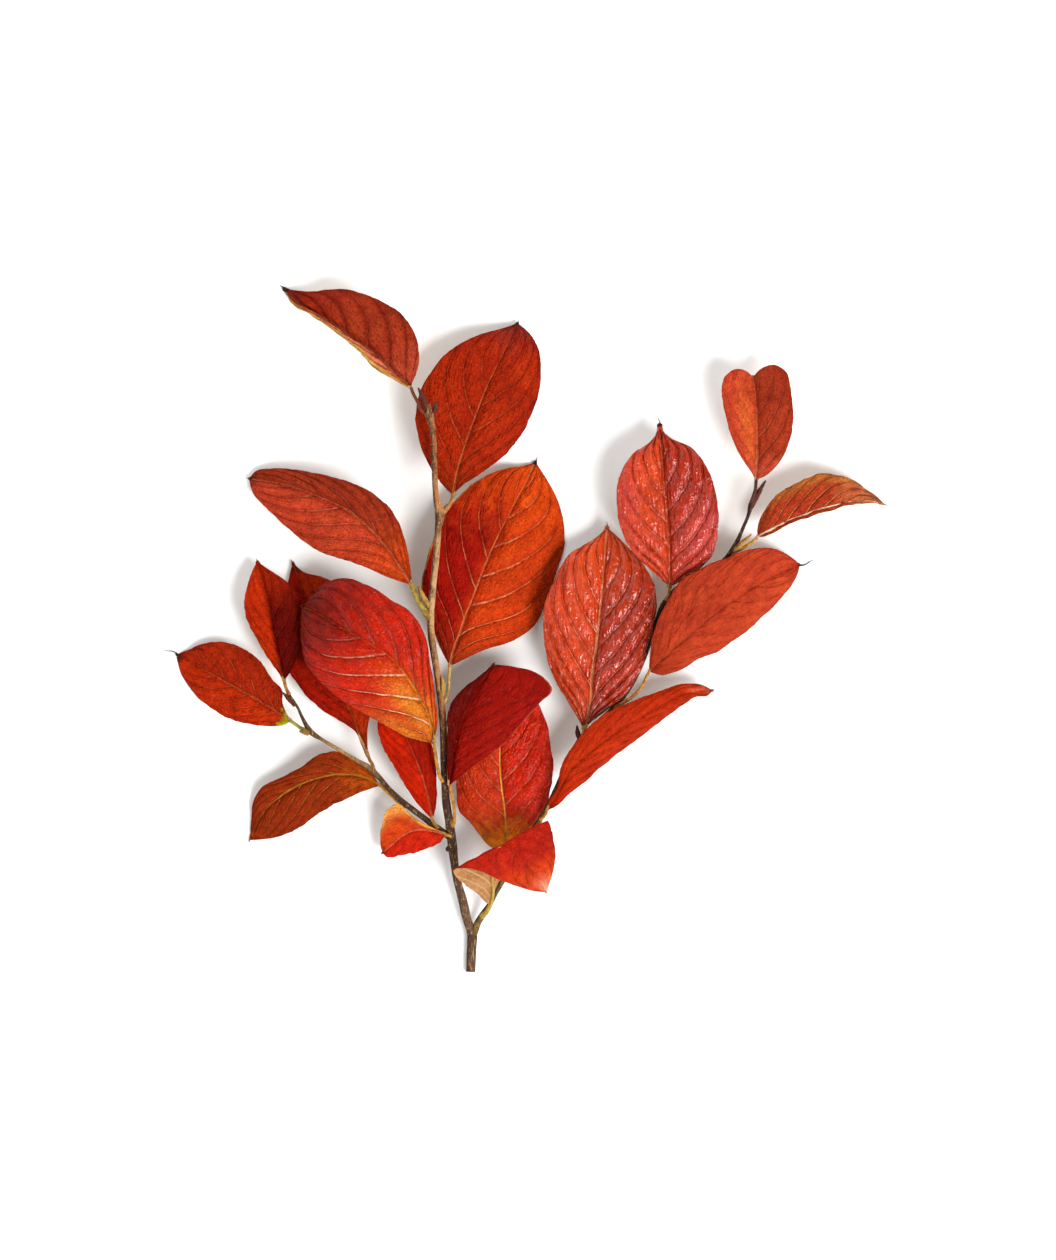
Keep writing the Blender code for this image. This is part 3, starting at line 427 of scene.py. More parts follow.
# Buds, each a short spindle from its root in the wood to its tip
buds = {
    "crown_left": [(427, 408, 18.6, 1.4), (423, 398, 18.9, 1.5), (418.5, 388.5, 19.2, 0.4)],
    "crown_right": [(430, 415, 18.5, 1.3), (436, 409, 18.8, 1.5), (434.5, 401, 19.2, 0.5)],
    "upper_axil": [(430, 607, 16.4, 1.5), (424, 598, 17.4, 1.6), (418, 584.5, 18.4, 0.4)],
    "centre_axil": [(442, 695, 14.8, 1.3), (443, 685, 15.6, 1.5), (441.5, 675.5, 16.1, 0.4)],
    "left_tip": [(295, 706, 9.3, 0.9), (288, 698, 9.8, 1.2), (283, 692.5, 10.1, 0.4)],
    "left_node": [(309, 733, 9.7, 1.6), (304, 731.5, 10.2, 1.6), (299.5, 731, 10.4, 0.5)],
    "right_axil": [(581, 741, 9.7, 1.2), (578, 734, 10.2, 1.5), (577, 725.5, 10.5, 0.4)],
    "right_node": [(733, 551, 10.7, 1.2), (742, 543.5, 12.4, 1.5), (751, 534.5, 13.3, 0.4)],
    "right_tip": [(750, 509, 12.3, 1.3), (757, 495, 12.1, 1.6), (765.5, 480.5, 11.4, 0.4)],
}

# Autumn leaf skin, a thin waxy cuticle over red and orange pigment: satin, with painted highlights on the crests, pale
# impressed veins that are partly painted highlight, painted shade beside the veins, and a fine net between them.
leafFields = ("along", "side", "phase", "fromRib", "relief", "blotch")
leafGrain = {
    # millimetres across one patch, and the detail within it
    "mottle": (11.0, 4.0),
    "glow": (7.7, 4.0),
    "patch": (3.9, 5.0),
    "tone": (1.8, 3.0),
    "fleck": (0.6, 2.0),
    "fine": (0.28, 2.0),
}
# millimetres across one cell of the skin; the real cells are finer and would not show
leafCells = {"pebble": 1.15, "dot": 2.4, "under": 2.1}
distanceToEdge = {"feature": "DISTANCE_TO_EDGE"}


upperSkinForm = {
    "ragged": {"along": 0.4, "reach": 0.05, "vein": 0.16},     # how far zones, margin and veins wander
    "veinTaper": 0.5, "ribTaper": 0.3,                          # width at the end, as a share
    "warpPerMetre": 420.0, "warp": (0.9, 0.9, 0.0), "chosenDots": 0.56,
    "glossLow": 0.05, "glossHigh": 0.1, "ior": 1.45, "bump": 0.0003,
}


def leafSkin(name, look):
    form = upperSkinForm
    material, tree, skin = newMaterial("cuticle_" + name, look["roughness"], look["specular"])
    spot = addNode(tree, "TexCoord", {}, {}, "Object")
    at = {key: addNode(tree, "Attribute", {"attribute_name": key}, {}, "Fac") for key in leafFields}
    grain = {}
    for key, (size, detail) in leafGrain.items():
        inputs = {"Vector": spot, "Scale": 1000.0 / size, "Detail": detail, "Roughness": 0.6}
        grain[key] = addNode(tree, "TexNoise", {}, inputs, "Fac")
    reach = addNode(tree, "Math", {"operation": "ABSOLUTE"}, {0: at["side"]})
    fromRib = addNode(tree, "Math", {"operation": "ABSOLUTE"}, {0: at["fromRib"]})
    uneven = addNode(tree, "Math", less, {0: grain["patch"], 1: 0.5})
    raggedAlong = addNode(tree, "Math", timesPlus, {0: uneven, 1: form["ragged"]["along"], 2: at["along"]})
    raggedReach = addNode(tree, "Math", timesPlus, {0: uneven, 1: form["ragged"]["reach"], 2: reach})

    # side veins, one at each whole number of phase, and the midrib, all tapering
    veinPlace = addNode(tree, "Math", timesPlus, {0: uneven, 1: form["ragged"]["vein"], 2: at["phase"]})
    veinDistance = addNode(tree, "Math", {"operation": "PINGPONG"}, {0: veinPlace, 1: 0.5})
    veinWidth = addNode(tree, "MapRange", eased, {0: reach, 1: 0.1, 2: 1.0, 3: look["veinWidth"],
                                                  4: look["veinWidth"] * form["veinTaper"]})
    veinAway = addNode(tree, "Math", over, {0: veinDistance, 1: veinWidth})
    ribWidth = addNode(tree, "MapRange", eased, {0: at["along"], 3: look["ribWidth"],
                                                 4: look["ribWidth"] * form["ribTaper"]})
    ribAway = addNode(tree, "Math", over, {0: fromRib, 1: ribWidth})

    # finer veins run from one side vein to the next, and the finest make pebbles
    rungs = addNode(tree, "CombineXYZ", {}, {
        0: addNode(tree, "Math", times, {0: at["phase"], 1: look["rungsAcross"]}),
        1: addNode(tree, "Math", over, {0: fromRib, 1: look["rungSpacing"]}),
        2: addNode(tree, "Math", {"operation": "SIGN"}, {0: at["side"]})})
    warp = addNode(tree, "TexNoise", {}, {"Vector": spot, "Scale": form["warpPerMetre"], "Detail": 2.0}, "Color")
    rungs = addNode(tree, "VectorMath", timesPlus, {0: warp, 1: form["warp"], 2: rungs})
    net = addNode(tree, "TexVoronoi", distanceToEdge, {"Vector": rungs, "Scale": 1.0}, "Distance")
    pebble = addNode(tree, "TexVoronoi", distanceToEdge,
                     {"Vector": spot, "Scale": 1000.0 / leafCells["pebble"]}, "Distance")
    dot = addNode(tree, "TexVoronoi", {}, {"Vector": spot, "Scale": 1000.0 / leafCells["dot"]}, "Distance")

    # shares from 0 to 1: each source, where it starts and ends, and the share there
    share = {}
    for key, (source, low, high, atLow, atHigh) in {
            # each half's colour is partly its pigment and partly painted light and shade of that half
            "halvesPigmentAndShade": (at["fromRib"], -look["halfBlend"], look["halfBlend"], 0.0, 1.0),
            "base": (raggedAlong, 0.0, look["baseReach"], look["baseShare"], 0.0),
            "tip": (raggedAlong, look["tipFrom"], 1.0, 0.0, look["tipShare"]),
            "mottle": (grain["mottle"], 0.46, 0.68, 0.0, look["mottleShare"]),
            "glow": (grain["glow"], 0.5, 0.68, 0.0, look["glowShare"]),
            # painted highlight: the crests of the swellings are lightened
            "crest": (at["relief"], 0.35, 0.95, 0.0, look["crestPaintedHighlightShare"]),
            # painted shade: the blade is darkened close to each side vein, where its hollow lies
            "veinPaintedShade": (veinDistance, 0.0, 0.2, look["veinPaintedShadeShare"], 0.0),
            "net": (net, 0.0, 0.12, look["netShare"], 0.0),
            "pebble": (pebble, 0.0, 0.2, look["pebbleShare"], 0.0),
            "fleck": (grain["fleck"], 0.57, 0.66, 0.0, look["fleckShare"]),
            "dot": (dot, 0.09, 0.16, look["dotShare"], 0.0),
            "edge": (raggedReach, look["edgeFrom"], 1.0, 0.0, look["edgeShare"]),
            "rim": (raggedReach, look["rimFrom"], look["rimFrom"] + 0.04, 0.0, 1.0),
            "rimSide": (at["side"], -0.2, 0.2, look["rimLeft"], look["rimRight"]),
            # pale vein lines: partly the veins' own colour and partly painted highlights along them, broken into
            # patches and stronger on one half where set
            "vein": (veinAway, 0.35, 1.0, look["veinShare"], 0.0),
            "veinPatch": (grain["patch"], 0.4, 0.58, 0.25, 1.0),
            "veinReach": (reach, 0.55, 1.0, 1.0, 0.25),
            "veinAlong": (at["along"], 0.35, 0.85, 1.0, look["veinTip"]),
            "veinSide": (at["side"], -0.2, 0.2, look["veinLeft"], look["veinRight"]),
            "rib": (ribAway, 0.45, 1.0, look["ribShare"], 0.0),
            "ribPatch": (grain["patch"], 0.3, 0.55, 0.55, 1.0),
            "ribAlong": (at["along"], look["ribReach"] - 0.25, look["ribReach"], 1.0, 0.15),
            "fine": (grain["fine"], 0.3, 0.7, 0.86, 1.12),
            "tone": (grain["tone"], 0.3, 0.7, 0.84, 1.14)}.items():
        share[key] = addNode(tree, "MapRange", eased, {0: source, 1: low, 2: high, 3: atLow, 4: atHigh})
    for key, factors in (("vein", ("veinPatch", "veinReach", "veinAlong", "veinSide")),
                         ("rib", ("ribPatch", "ribAlong")), ("rim", ("rimSide",)), ("fine", ("tone",))):
        for factor in factors:
            share[key] = addNode(tree, "Math", times, {0: share[key], 1: share[factor]})
    chosen = addNode(tree, "Math", {"operation": "GREATER_THAN"}, {0: dot.node.outputs["Color"], 1: form["chosenDots"]})
    share["dot"] = addNode(tree, "Math", times, {0: share["dot"], 1: chosen})

    # colours laid over one another; three numbers tint what lies below. The halves carry painted light and shade as
    # well as pigment, the crest tint is a painted highlight and the tint beside the veins is painted shade
    color = addNode(tree, "Mix", rgba, {0: share["halvesPigmentAndShade"], 6: look["left"], 7: look["right"]}, 2)
    for layer, tone in ((share["base"], look["base"]), (share["tip"], look["tip"]), (at["blotch"], look["blotch"]),
                        (share["mottle"], (0.6, 0.42, 0.5)), (share["glow"], (1.2, 1.7, 1.3)),
                        (share["crest"], (1.2, 1.4, 1.3)), (share["veinPaintedShade"], (0.55, 0.4, 0.45)),
                        (share["net"], (0.6, 0.45, 0.5)), (share["pebble"], (0.6, 0.46, 0.5)),
                        (share["vein"], look["vein"]), (share["rib"], look["rib"]), (share["fleck"], look["fleck"]),
                        (share["dot"], look["fleck"]), (share["edge"], (0.5, 0.38, 0.4)),
                        (share["rim"], look["rim"])):
        if isinstance(tone, tuple):
            tone = addNode(tree, "VectorMath", times, {0: color, 1: tone})
        color = addNode(tree, "Mix", rgba, {0: layer, 6: color, 7: tone}, 2)
    color = addNode(tree, "VectorMath", {"operation": "SCALE"}, {0: color, "Scale": share["fine"]})
    tree.links.new(color, skin.inputs["Base Color"])

    gloss = addNode(tree, "MapRange", eased, {0: grain["patch"], 1: 0.35, 2: 0.65,
                                              3: look["roughness"] - form["glossLow"],
                                              4: look["roughness"] + form["glossHigh"]})
    tree.links.new(gloss, skin.inputs["Roughness"])
    skin.inputs["IOR"].default_value = form["ior"]
    humps = {"net": (net, 0.34), "pebble": (pebble, 0.4), "vein": (veinDistance, 0.13), "rib": (fromRib, 0.8)}
    for key, (source, high) in humps.items():
        humps[key] = addNode(tree, "MapRange", eased, {0: source, 2: high})
    height = 0.0
    for source, depth in ((humps["net"], look["netDepth"]), (humps["pebble"], look["pebbleDepth"]),
                          (humps["vein"], look["veinDepth"]), (humps["rib"], look["ribDepth"]),
                          (grain["fine"], look["fineDepth"]), (grain["tone"], look["toneDepth"])):
        height = addNode(tree, "Math", timesPlus, {0: source, 1: depth, 2: height})
    bump = addNode(tree, "Bump", {}, {"Strength": 1.0, "Distance": form["bump"], "Height": height}, "Normal")
    tree.links.new(bump, skin.inputs["Normal"])
    return material


lowerSkinForm = {
    "feltPerMetre": 2600.0, "patchPerMetre": 140.0, "bump": 0.0002,
    "net": "C49A66", "vein": "CFA670", "shade": "8A5A3C",
}


def underSkin(name, look):
    # the leaf's lower face: dull, cream to tan, with the rib and veins standing out
    material, tree, skin = newMaterial("underside_" + name, 0.72, 0.2)
    spot = addNode(tree, "TexCoord", {}, {}, "Object")
    along = addNode(tree, "Attribute", {"attribute_name": "along"}, {}, "Fac")
    phase = addNode(tree, "Attribute", {"attribute_name": "phase"}, {}, "Fac")
    form = lowerSkinForm
    felt = addNode(tree, "TexNoise", {}, {"Vector": spot, "Scale": form["feltPerMetre"], "Detail": 4.0,
                                          "Roughness": 0.7}, "Fac")
    patch = addNode(tree, "TexNoise", {}, {"Vector": spot, "Scale": form["patchPerMetre"], "Detail": 3.0}, "Fac")
    net = addNode(tree, "TexVoronoi", distanceToEdge,
                  {"Vector": spot, "Scale": 1000.0 / leafCells["under"]}, "Distance")
    veinDistance = addNode(tree, "Math", {"operation": "PINGPONG"}, {0: phase, 1: 0.5})
    color = look["under"]
    height = 0.0
    for source, low, high, atLow, atHigh, tone, depth in (
            (patch, 0.35, 0.65, 0.0, 1.0, look["underPatch"], 0.0), (along, 0.45, 1.0, 0.0, 0.35, look["left"], 0.0),
            (net, 0.0, 0.12, 0.25, 0.0, form["net"], 1.2), (veinDistance, 0.02, 0.1, 0.4, 0.0, form["vein"], 1.6),
            (felt, 0.35, 0.7, 0.0, 0.25, form["shade"], 1.2)):
        share = addNode(tree, "MapRange", eased, {0: source, 1: low, 2: high, 3: atLow, 4: atHigh})
        color = addNode(tree, "Mix", rgba, {0: share, 6: color, 7: tone}, 2)
        height = addNode(tree, "Math", timesPlus, {0: share, 1: depth, 2: height})
    tree.links.new(color, skin.inputs["Base Color"])
    bump = addNode(tree, "Bump", {}, {"Strength": 0.6, "Distance": form["bump"], "Height": height}, "Normal")
    tree.links.new(bump, skin.inputs["Normal"])
    return material


def stalkSkin(name, look):
    # petiole: smooth, slightly waxy, yellow to red-brown in streaks
    material, tree, skin = newMaterial("petiole_" + name, 0.5, 0.2)
    spot = addNode(tree, "TexCoord", {}, {}, "Object")
    streak = addNode(tree, "TexNoise", {}, {"Vector": spot, "Scale": 900.0, "Detail": 3.0}, "Fac")
    share = addNode(tree, "MapRange", eased, {0: streak, 1: 0.38, 2: 0.62})
    color = addNode(tree, "Mix", rgba, {0: share, 6: look["stalk"], 7: look["stalkPatch"]}, 2)
    tree.links.new(color, skin.inputs["Base Color"])
    bump = addNode(tree, "Bump", {}, {"Strength": 0.5, "Distance": 0.0001, "Height": streak}, "Normal")
    tree.links.new(bump, skin.inputs["Normal"])
    return material


# The pigments that the leaves share, from the deepest red to the last green.
pigments = {
    "maroon": "4A140A", "wine": "560400", "garnet": "860B02", "blood": "981404", "brick": "982104",
    "scarlet": "B21B02", "vermilion": "AE2804", "flame": "B6340A", "orange": "CC440C", "amber": "CC5A0A",
    "gold": "FFA015", "rust": "962E16", "russet": "7E2406", "umber": "7A3C10",
    "char": "542628", "rose": "B43A20", "coral": "CA543A", "salmon": "D46E4E", "sand": "BC7648", "lime": "AECC20",
}

# What every leaf starts from; leafLooks states what differs. Lengths are in
# millimetres; places along and across the blade, and shares, run from 0 to 1.
leafDefaults = {
    # the grid, the thickness, the pairs of side veins, and how far these lean and curl towards the tip
    "rows": 120, "columns": 76, "blade": 0.34, "pairs": 7.0, "lean": 0.26, "curl": 0.13, "seed": 1,
    # relief: swellings between veins, furrow of the midrib, buckles, rungs, waved and jagged margin
    "quilt": 0.36, "groove": 0.25, "ripple": 0.3, "pucker": 0.1, "ladder": 0.03, "ladderStep": 2.5,
    "wave": 0.4, "jag": 0.5,
    # stalk, the midrib underneath, the dry point, and where a dry brown tip starts
    "stalkGirth": 1.0, "ribTo": 0.86, "spike": 0.8, "spikeEnd": None, "capFrom": 2.0,
    "roughness": 0.45, "specular": 0.03,
    # midrib and side veins on the upper skin
    "ribWidth": 0.4, "ribReach": 1.2, "ribShare": 0.55, "ribDepth": 0.6,
    "veinWidth": 0.045, "veinShare": 0.45, "veinTip": 0.5, "veinLeft": 1.0, "veinRight": 1.0, "veinDepth": 0.35,
    # the net between the veins, and the pebbled grain
    "rungsAcross": 3.6, "rungSpacing": 1.5, "netShare": 0.2, "netDepth": 0.55,
    "pebbleShare": 0.42, "pebbleDepth": 0.45, "fineDepth": 0.04, "toneDepth": 0.3,
    # pigments of the two halves, base and tip, and how far and how strongly each goes; the halves' pigments also carry
    # painted light and shade, the crest share is a painted highlight and the vein shade share is painted shade beside
    # the veins
    "left": "brick", "right": "brick", "halfBlend": 0.8, "base": "amber", "baseReach": 0.25, "baseShare": 0.4,
    "tip": "maroon", "tipFrom": 0.93, "tipShare": 0.7, "edgeFrom": 0.955, "edgeShare": 0.35,
    "mottleShare": 0.5, "glowShare": 0.4, "crestPaintedHighlightShare": 0.35, "veinPaintedShadeShare": 0.3,
    # colours of lines, spots, the lower face and the stalk
    "vein": "C87A4A", "rib": "C8804A", "rim": "B8803A", "rimFrom": 0.95, "rimLeft": 0.0, "rimRight": 0.0,
    "fleck": "34100A", "fleckShare": 0.45, "dotShare": 0.0, "blotch": "C8862E", "blotches": (),
    "under": "AC7C50", "underPatch": "98683C", "stalk": "A87426", "stalkPatch": "7E4E1C",
}

leafLooks = {
    "leaf_crown_left": dict(
        left="salmon", right="rust", base="coral", baseReach=0.3, baseShare=0.6, tip="garnet", tipFrom=0.4,
        tipShare=0.6, capFrom=0.955, vein="62190F", veinShare=0.6, veinWidth=0.04, veinDepth=0.9, pairs=6,
        rib="984A2C", rim="C8A048", rimFrom=0.6, rimLeft=0.8, netShare=0.35, netDepth=0.9, crestPaintedHighlightShare=0.75,
        veinPaintedShadeShare=0.45, fleckShare=0.6, dotShare=0.5, quilt=0.65, wave=0.6, rows=100, columns=64, spike=1.2,
        under="C09A4A", underPatch="A8782E", stalk="6A3018", stalkPatch="42200F"),
    "leaf_crown": dict(
        base="russet", baseShare=0.6, tip="char", tipFrom=0.76, tipShare=0.5, capFrom=0.982, vein="B8602E",
        veinShare=0.5, veinTip=0.1, pairs=6, lean=0.33, curl=0.14, rib="BA6A38", ribShare=0.5, ribReach=0.95,
        netDepth=0.8, veinPaintedShadeShare=0.45, fleckShare=0.7, dotShare=0.6, quilt=0.45, seed=2, spike=1.0),
    "leaf_left_upper": dict(
        left="rose", right="rust", base="orange", baseReach=0.4, baseShare=0.8, vein="CC7A56", veinShare=0.5,
        veinDepth=0.6, lean=0.3, rib="BE6A44", netDepth=0.8, veinPaintedShadeShare=0.5, fleckShare=0.6, dotShare=0.5,
        quilt=0.55, ladder=0.05, seed=3, stalk="9A8A3A", stalkPatch="7A5A24", stalkGirth=1.7),
    "leaf_centre": dict(
        left="garnet", right="flame", halfBlend=4.0, base="russet", baseReach=0.3, baseShare=0.5, tip="orange",
        tipFrom=0.5, tipShare=0.8, capFrom=0.98, vein="E69A62", veinShare=0.6, veinLeft=0.5, veinWidth=0.05,
        veinDepth=0.55, rib="C87444", rim="B87C34", rimFrom=0.965, rimLeft=0.7, netDepth=0.7, veinPaintedShadeShare=0.45,
        quilt=0.65, ladder=0.07, rows=150, columns=96, seed=4, spike=1.6, stalk="B89A5A", stalkPatch="8E6A38"),
    "leaf_centre_left": dict(
        left="scarlet", right="scarlet", halfBlend=2.5, baseReach=0.4, baseShare=0.65, tip="wine", tipFrom=0.48,
        # its pale veins are partly painted glints, kept mostly to the left half
        tipShare=0.9, vein="F4BC92", veinShare=0.8, veinTip=0.05, veinRight=0.15, veinWidth=0.06, veinDepth=0.6,
        rib="D8962E", ribReach=0.5, glowShare=0.2, veinPaintedShadeShare=0.5, blotch="D8861A",
        blotches=((0.2, -0.22, 0.2, 0.3, 0.75), (0.1, 0.3, 0.12, 0.3, 0.6), (0.1, -0.9, 0.2, 0.3, 0.6)), quilt=0.65,
        ladder=0.12, ladderStep=2.0, roughness=0.22, specular=0.13, rows=140, columns=96, seed=5, spike=0.0,
        stalk="A87A24", stalkPatch="8A541C"),
    "leaf_left_shoot_end": dict(
        left="vermilion", right="wine", base="wine", tip="vermilion", tipFrom=0.45, vein="9A3A18", veinShare=0.2,
        pairs=6, rib="7A2208", ribShare=0.4, crestPaintedHighlightShare=0.2, rows=90, columns=60, seed=6),
    "leaf_left_shoot_back": dict(
        left="blood", right="vermilion", base="umber", vein="A04A1E", rib="9A4A20", fleckShare=0.6, seed=7),
    "leaf_far_left": dict(
        left="vermilion", base="lime", baseReach=0.13, baseShare=0.9, vein="C27448", veinShare=0.35, rib="B2643A",
        ribShare=0.4, ribReach=0.9, netDepth=0.7, fleckShare=0.7, dotShare=0.9, rows=90, columns=64, seed=8,
        spike=4.2, stalk="86862E", stalkPatch="7A662A"),
    "leaf_low_left": dict(
        left="russet", right="russet", baseReach=0.35, baseShare=0.6, tip="orange", tipShare=0.3, vein="BE842C",
        veinShare=0.75, lean=0.36, rib="B88A2E", ribReach=0.9, fleckShare=0.3, rows=100, columns=64, seed=9,
        stalk="B88422", stalkPatch="98661E"),
    "leaf_low_small": dict(
        left="scarlet", right="flame", base="flame", vein="B83824", veinShare=0.15, pairs=5, rib="DC7A5E",
        netShare=0.1, pebbleShare=0.1, veinPaintedShadeShare=0.1, fleckShare=0.15, blotch="E8A850",
        blotches=((0.2, 0.75, 0.2, 0.3, 1.0), (0.42, 0.95, 0.24, 0.3, 1.0), (0.62, 1.0, 0.2, 0.18, 1.0)),
        quilt=0.15, ripple=0.12, roughness=0.4, specular=0.05, rows=70, columns=48, seed=10),
    "leaf_behind_centre": dict(
        left="scarlet", right="blood", base="blood", vein="C8503A", lean=0.34, rib="B85A3C", netShare=0.15,
        pebbleShare=0.15, fleckShare=0.15, quilt=0.3, rows=110, columns=56, seed=11),
    "leaf_stem_right": dict(
        left="wine", right="garnet", base="garnet", vein="981C0E", veinShare=0.15, rib="640803", ribShare=0.5,
        # its rim colour is a painted highlight along the lit right margin
        rim="AC4A34", rimFrom=0.97, rimRight=0.8, netShare=0.12, pebbleShare=0.15, mottleShare=0.3, glowShare=0.25,
        veinPaintedShadeShare=0.2, fleckShare=0.1, quilt=0.2, roughness=0.38, specular=0.05, rows=110, columns=72, seed=12),
    "leaf_stem_right_back": dict(
        left="vermilion", right="scarlet", base="gold", baseReach=0.3, baseShare=0.6, vein="D08A5A", rib="DC9A3A",
        ribShare=0.85, ribReach=0.8, pebbleShare=0.25, veinPaintedShadeShare=0.15, fleckShare=0.25, quilt=0.3, ladder=0.05,
        roughness=0.24, specular=0.12, seed=13),
    "leaf_folded": dict(
        left="blood", right="blood", base="blood", tip="orange", tipFrom=0.55, tipShare=0.6, vein="BC4424",
        veinShare=0.08, rib="A02C12", ribShare=0.3, ribTo=0.3, netShare=0.15, pebbleShare=0.15, veinPaintedShadeShare=0.15,
        fleckShare=0.15, blotch="F0AE8C", blotches=((0.98, -0.4, 0.1, 0.7, 0.8),), quilt=0.18, groove=0.06,
        ripple=0.1, pucker=0.05, wave=0.15, roughness=0.4, specular=0.05, rows=130, columns=80, seed=14, spike=0.0,
        under="9C6E44", underPatch="86582C", stalk="A88A34", stalkPatch="8E6C24", stalkGirth=1.4),
    "leaf_low_right": dict(
        base="scarlet", tip="coral", tipFrom=0.9, tipShare=0.85, vein="A03A18", veinShare=0.15, rib="9A2C10",
        ribShare=0.35, rim="C06A50", rimFrom=0.965, rimRight=0.7, netShare=0.08, pebbleShare=0.25, veinPaintedShadeShare=0.15,
        fleckShare=0.2, quilt=0.18, ripple=0.18, columns=64, seed=15, spike=0.2),
    "leaf_right_glossy": dict(
        left="flame", base="russet", tip="orange", tipFrom=0.5, tipShare=0.5, vein="D08050", veinShare=0.5,
        veinDepth=0.5, pairs=7.5, lean=0.3, curl=0.14, rib="CE8A5A", ribWidth=0.5, netShare=0.1, netDepth=0.8,
        rungsAcross=1.2, rungSpacing=1.6, pebbleShare=0.15, pebbleDepth=0.25, toneDepth=0.25, crestPaintedHighlightShare=0.15,
        fleckShare=0.2, quilt=1.0, pucker=0.12, ladder=0.3, ladderStep=1.7, roughness=0.13, specular=0.5, rows=160,
        columns=124, seed=16, spike=1.2),
    "leaf_right_upper": dict(
        left="flame", base="vermilion", baseShare=0.5, tip="garnet", tipFrom=0.86, capFrom=0.985, vein="C46A4E",
        veinShare=0.4, veinDepth=0.5, pairs=6.5, lean=0.3, curl=0.14, rib="A04A30", ribTo=0.8, netShare=0.1,
        netDepth=0.8, rungsAcross=1.2, pebbleShare=0.15, pebbleDepth=0.25, toneDepth=0.25, crestPaintedHighlightShare=0.15,
        fleckShare=0.2, blotch="B83A34", blotches=((0.35, 0.7, 0.2, 0.35, 0.7), (0.5, -0.8, 0.25, 0.3, 0.5)),
        quilt=0.9, pucker=0.12, ladder=0.22, ladderStep=1.6, roughness=0.14, specular=0.38, rows=140, columns=108,
        seed=17, spike=1.8),
    "leaf_right_broad": dict(
        left="rust", right="rust", base="russet", tip="rose", tipFrom=0.45, tipShare=0.4, vein="B0603C",
        veinShare=0.1, veinDepth=0.2, rib="A04A28", ribShare=0.3, ribReach=0.5, netShare=0.18, netDepth=0.9,
        rungsAcross=2.2, rungSpacing=2.4, pebbleShare=0.2, pebbleDepth=0.35, veinPaintedShadeShare=0.12, fleckShare=0.15,
        quilt=0.28, groove=0.1, roughness=0.55, rows=130, columns=90, seed=18, spike=3.6, spikeEnd=(815, 561),
        stalk="9A702A", stalkPatch="7A4A1C"),
    "leaf_notched": dict(
        left="rose", right="rust", base="coral", baseShare=0.8, tipShare=0.0, vein="C4704C", pairs=5, rib="BA6A48",
        pebbleShare=0.35, blotch="CC6426", blotches=((0.5, -0.3, 0.35, 0.3, 0.45),), roughness=0.4, specular=0.04,
        rows=100, columns=64, seed=19, spike=0.0, stalk="4A2018", stalkPatch="3A1812"),
    "leaf_far_right": dict(
        left="rust", right="russet", base="russet", tip="sand", tipFrom=0.5, tipShare=0.65, vein="C8924A",
        veinShare=0.75, veinDepth=0.7, lean=0.32, rib="EAD6B8", ribShare=0.9, ribWidth=0.5, rim="E0C8A8",
        rimFrom=0.6, rimRight=0.95, netDepth=0.8, crestPaintedHighlightShare=0.6, veinPaintedShadeShare=0.5, blotch="C07C34",
        blotches=((0.55, -0.95, 0.4, 0.2, 0.6),), quilt=0.45, rows=100, columns=64, seed=20, spike=0.5,
        under="D0A484", underPatch="C08E66", stalk="B0803A", stalkPatch="8E5424"),
}


upperSlot, stalkSlot, spikeSlot = 0, 2, 3     # material slots of a leaf; 1 is the underside, which Solidify gives

# How every blade is shaped, whatever its looks; lengths in millimetres
bladeForm = {
    "crowding": 0.4,                            # share of the rows that is drawn towards base and tip
    "leastAtBase": 0.4, "leastAtTip": 0.12,     # the least width of one half
    "jags": ((19.0, 1.7, 0.6), (52.0, 6.1, 0.3)),   # notches along a margin: how many, offset, share
    "alternate": 0.42,                          # left veins start this part of a spacing after right ones
    "rungShift": 0.37,                          # and the rungs shift by this part from strip to strip
    "level": 0.45,                              # a swelling of this share leaves the blade's height as it was
    "endFade": 1.6, "ribFade": 7, "marginFade": 5,  # the higher, the nearer relief comes to an end or edge
    "swellPower": 0.8, "rungPower": 0.7,        # under 1 is broad crests and narrow furrows
    "jagPower": 4, "wavePower": 3,              # the higher, the more it keeps to the margin
    "ripple": 0.16, "pucker": 0.55,             # buckles to a millimetre
    "wave": (7.0, 1.5),                         # waves along and across the blade
    "grooveReach": 0.75, "grooveFade": 0.6, "clearance": 0.06, "seedStep": 7.31,
    "tipPart": 0.9,                             # past this both faces have the upper skin
}


def softSpots(spots, ahead, side):
    # each spot: place along, place across, reach along, reach across, strength
    field = np.zeros((len(ahead), len(side)))
    for along, across, alongReach, acrossReach, strength in spots:
        far = ((ahead[:, None] - along) / alongReach) ** 2 + ((side[None, :] - across) / acrossReach) ** 2
        field = np.maximum(field, strength * np.exp(-1.2 * far))
    return field


def leafLines(shape, ahead):
    # the midrib and both margins, a point for each row; a folded leaf has a crest on each
    midrib = [place(point) for point in shape["midrib"]]
    crests = shape.get("fold", (None, None, None))
    middle = curveAt(midrib, ahead, crests[1])
    margins = []
    for hand, crest in (("left", crests[0]), ("right", crests[2])):
        knots = [midrib[0]] + [place(point) for point in shape[hand]] + [midrib[-1]]
        margins.append(curveAt(knots, ahead, None if crest is None else crest + 1))
    return middle, margins[0], margins[1]


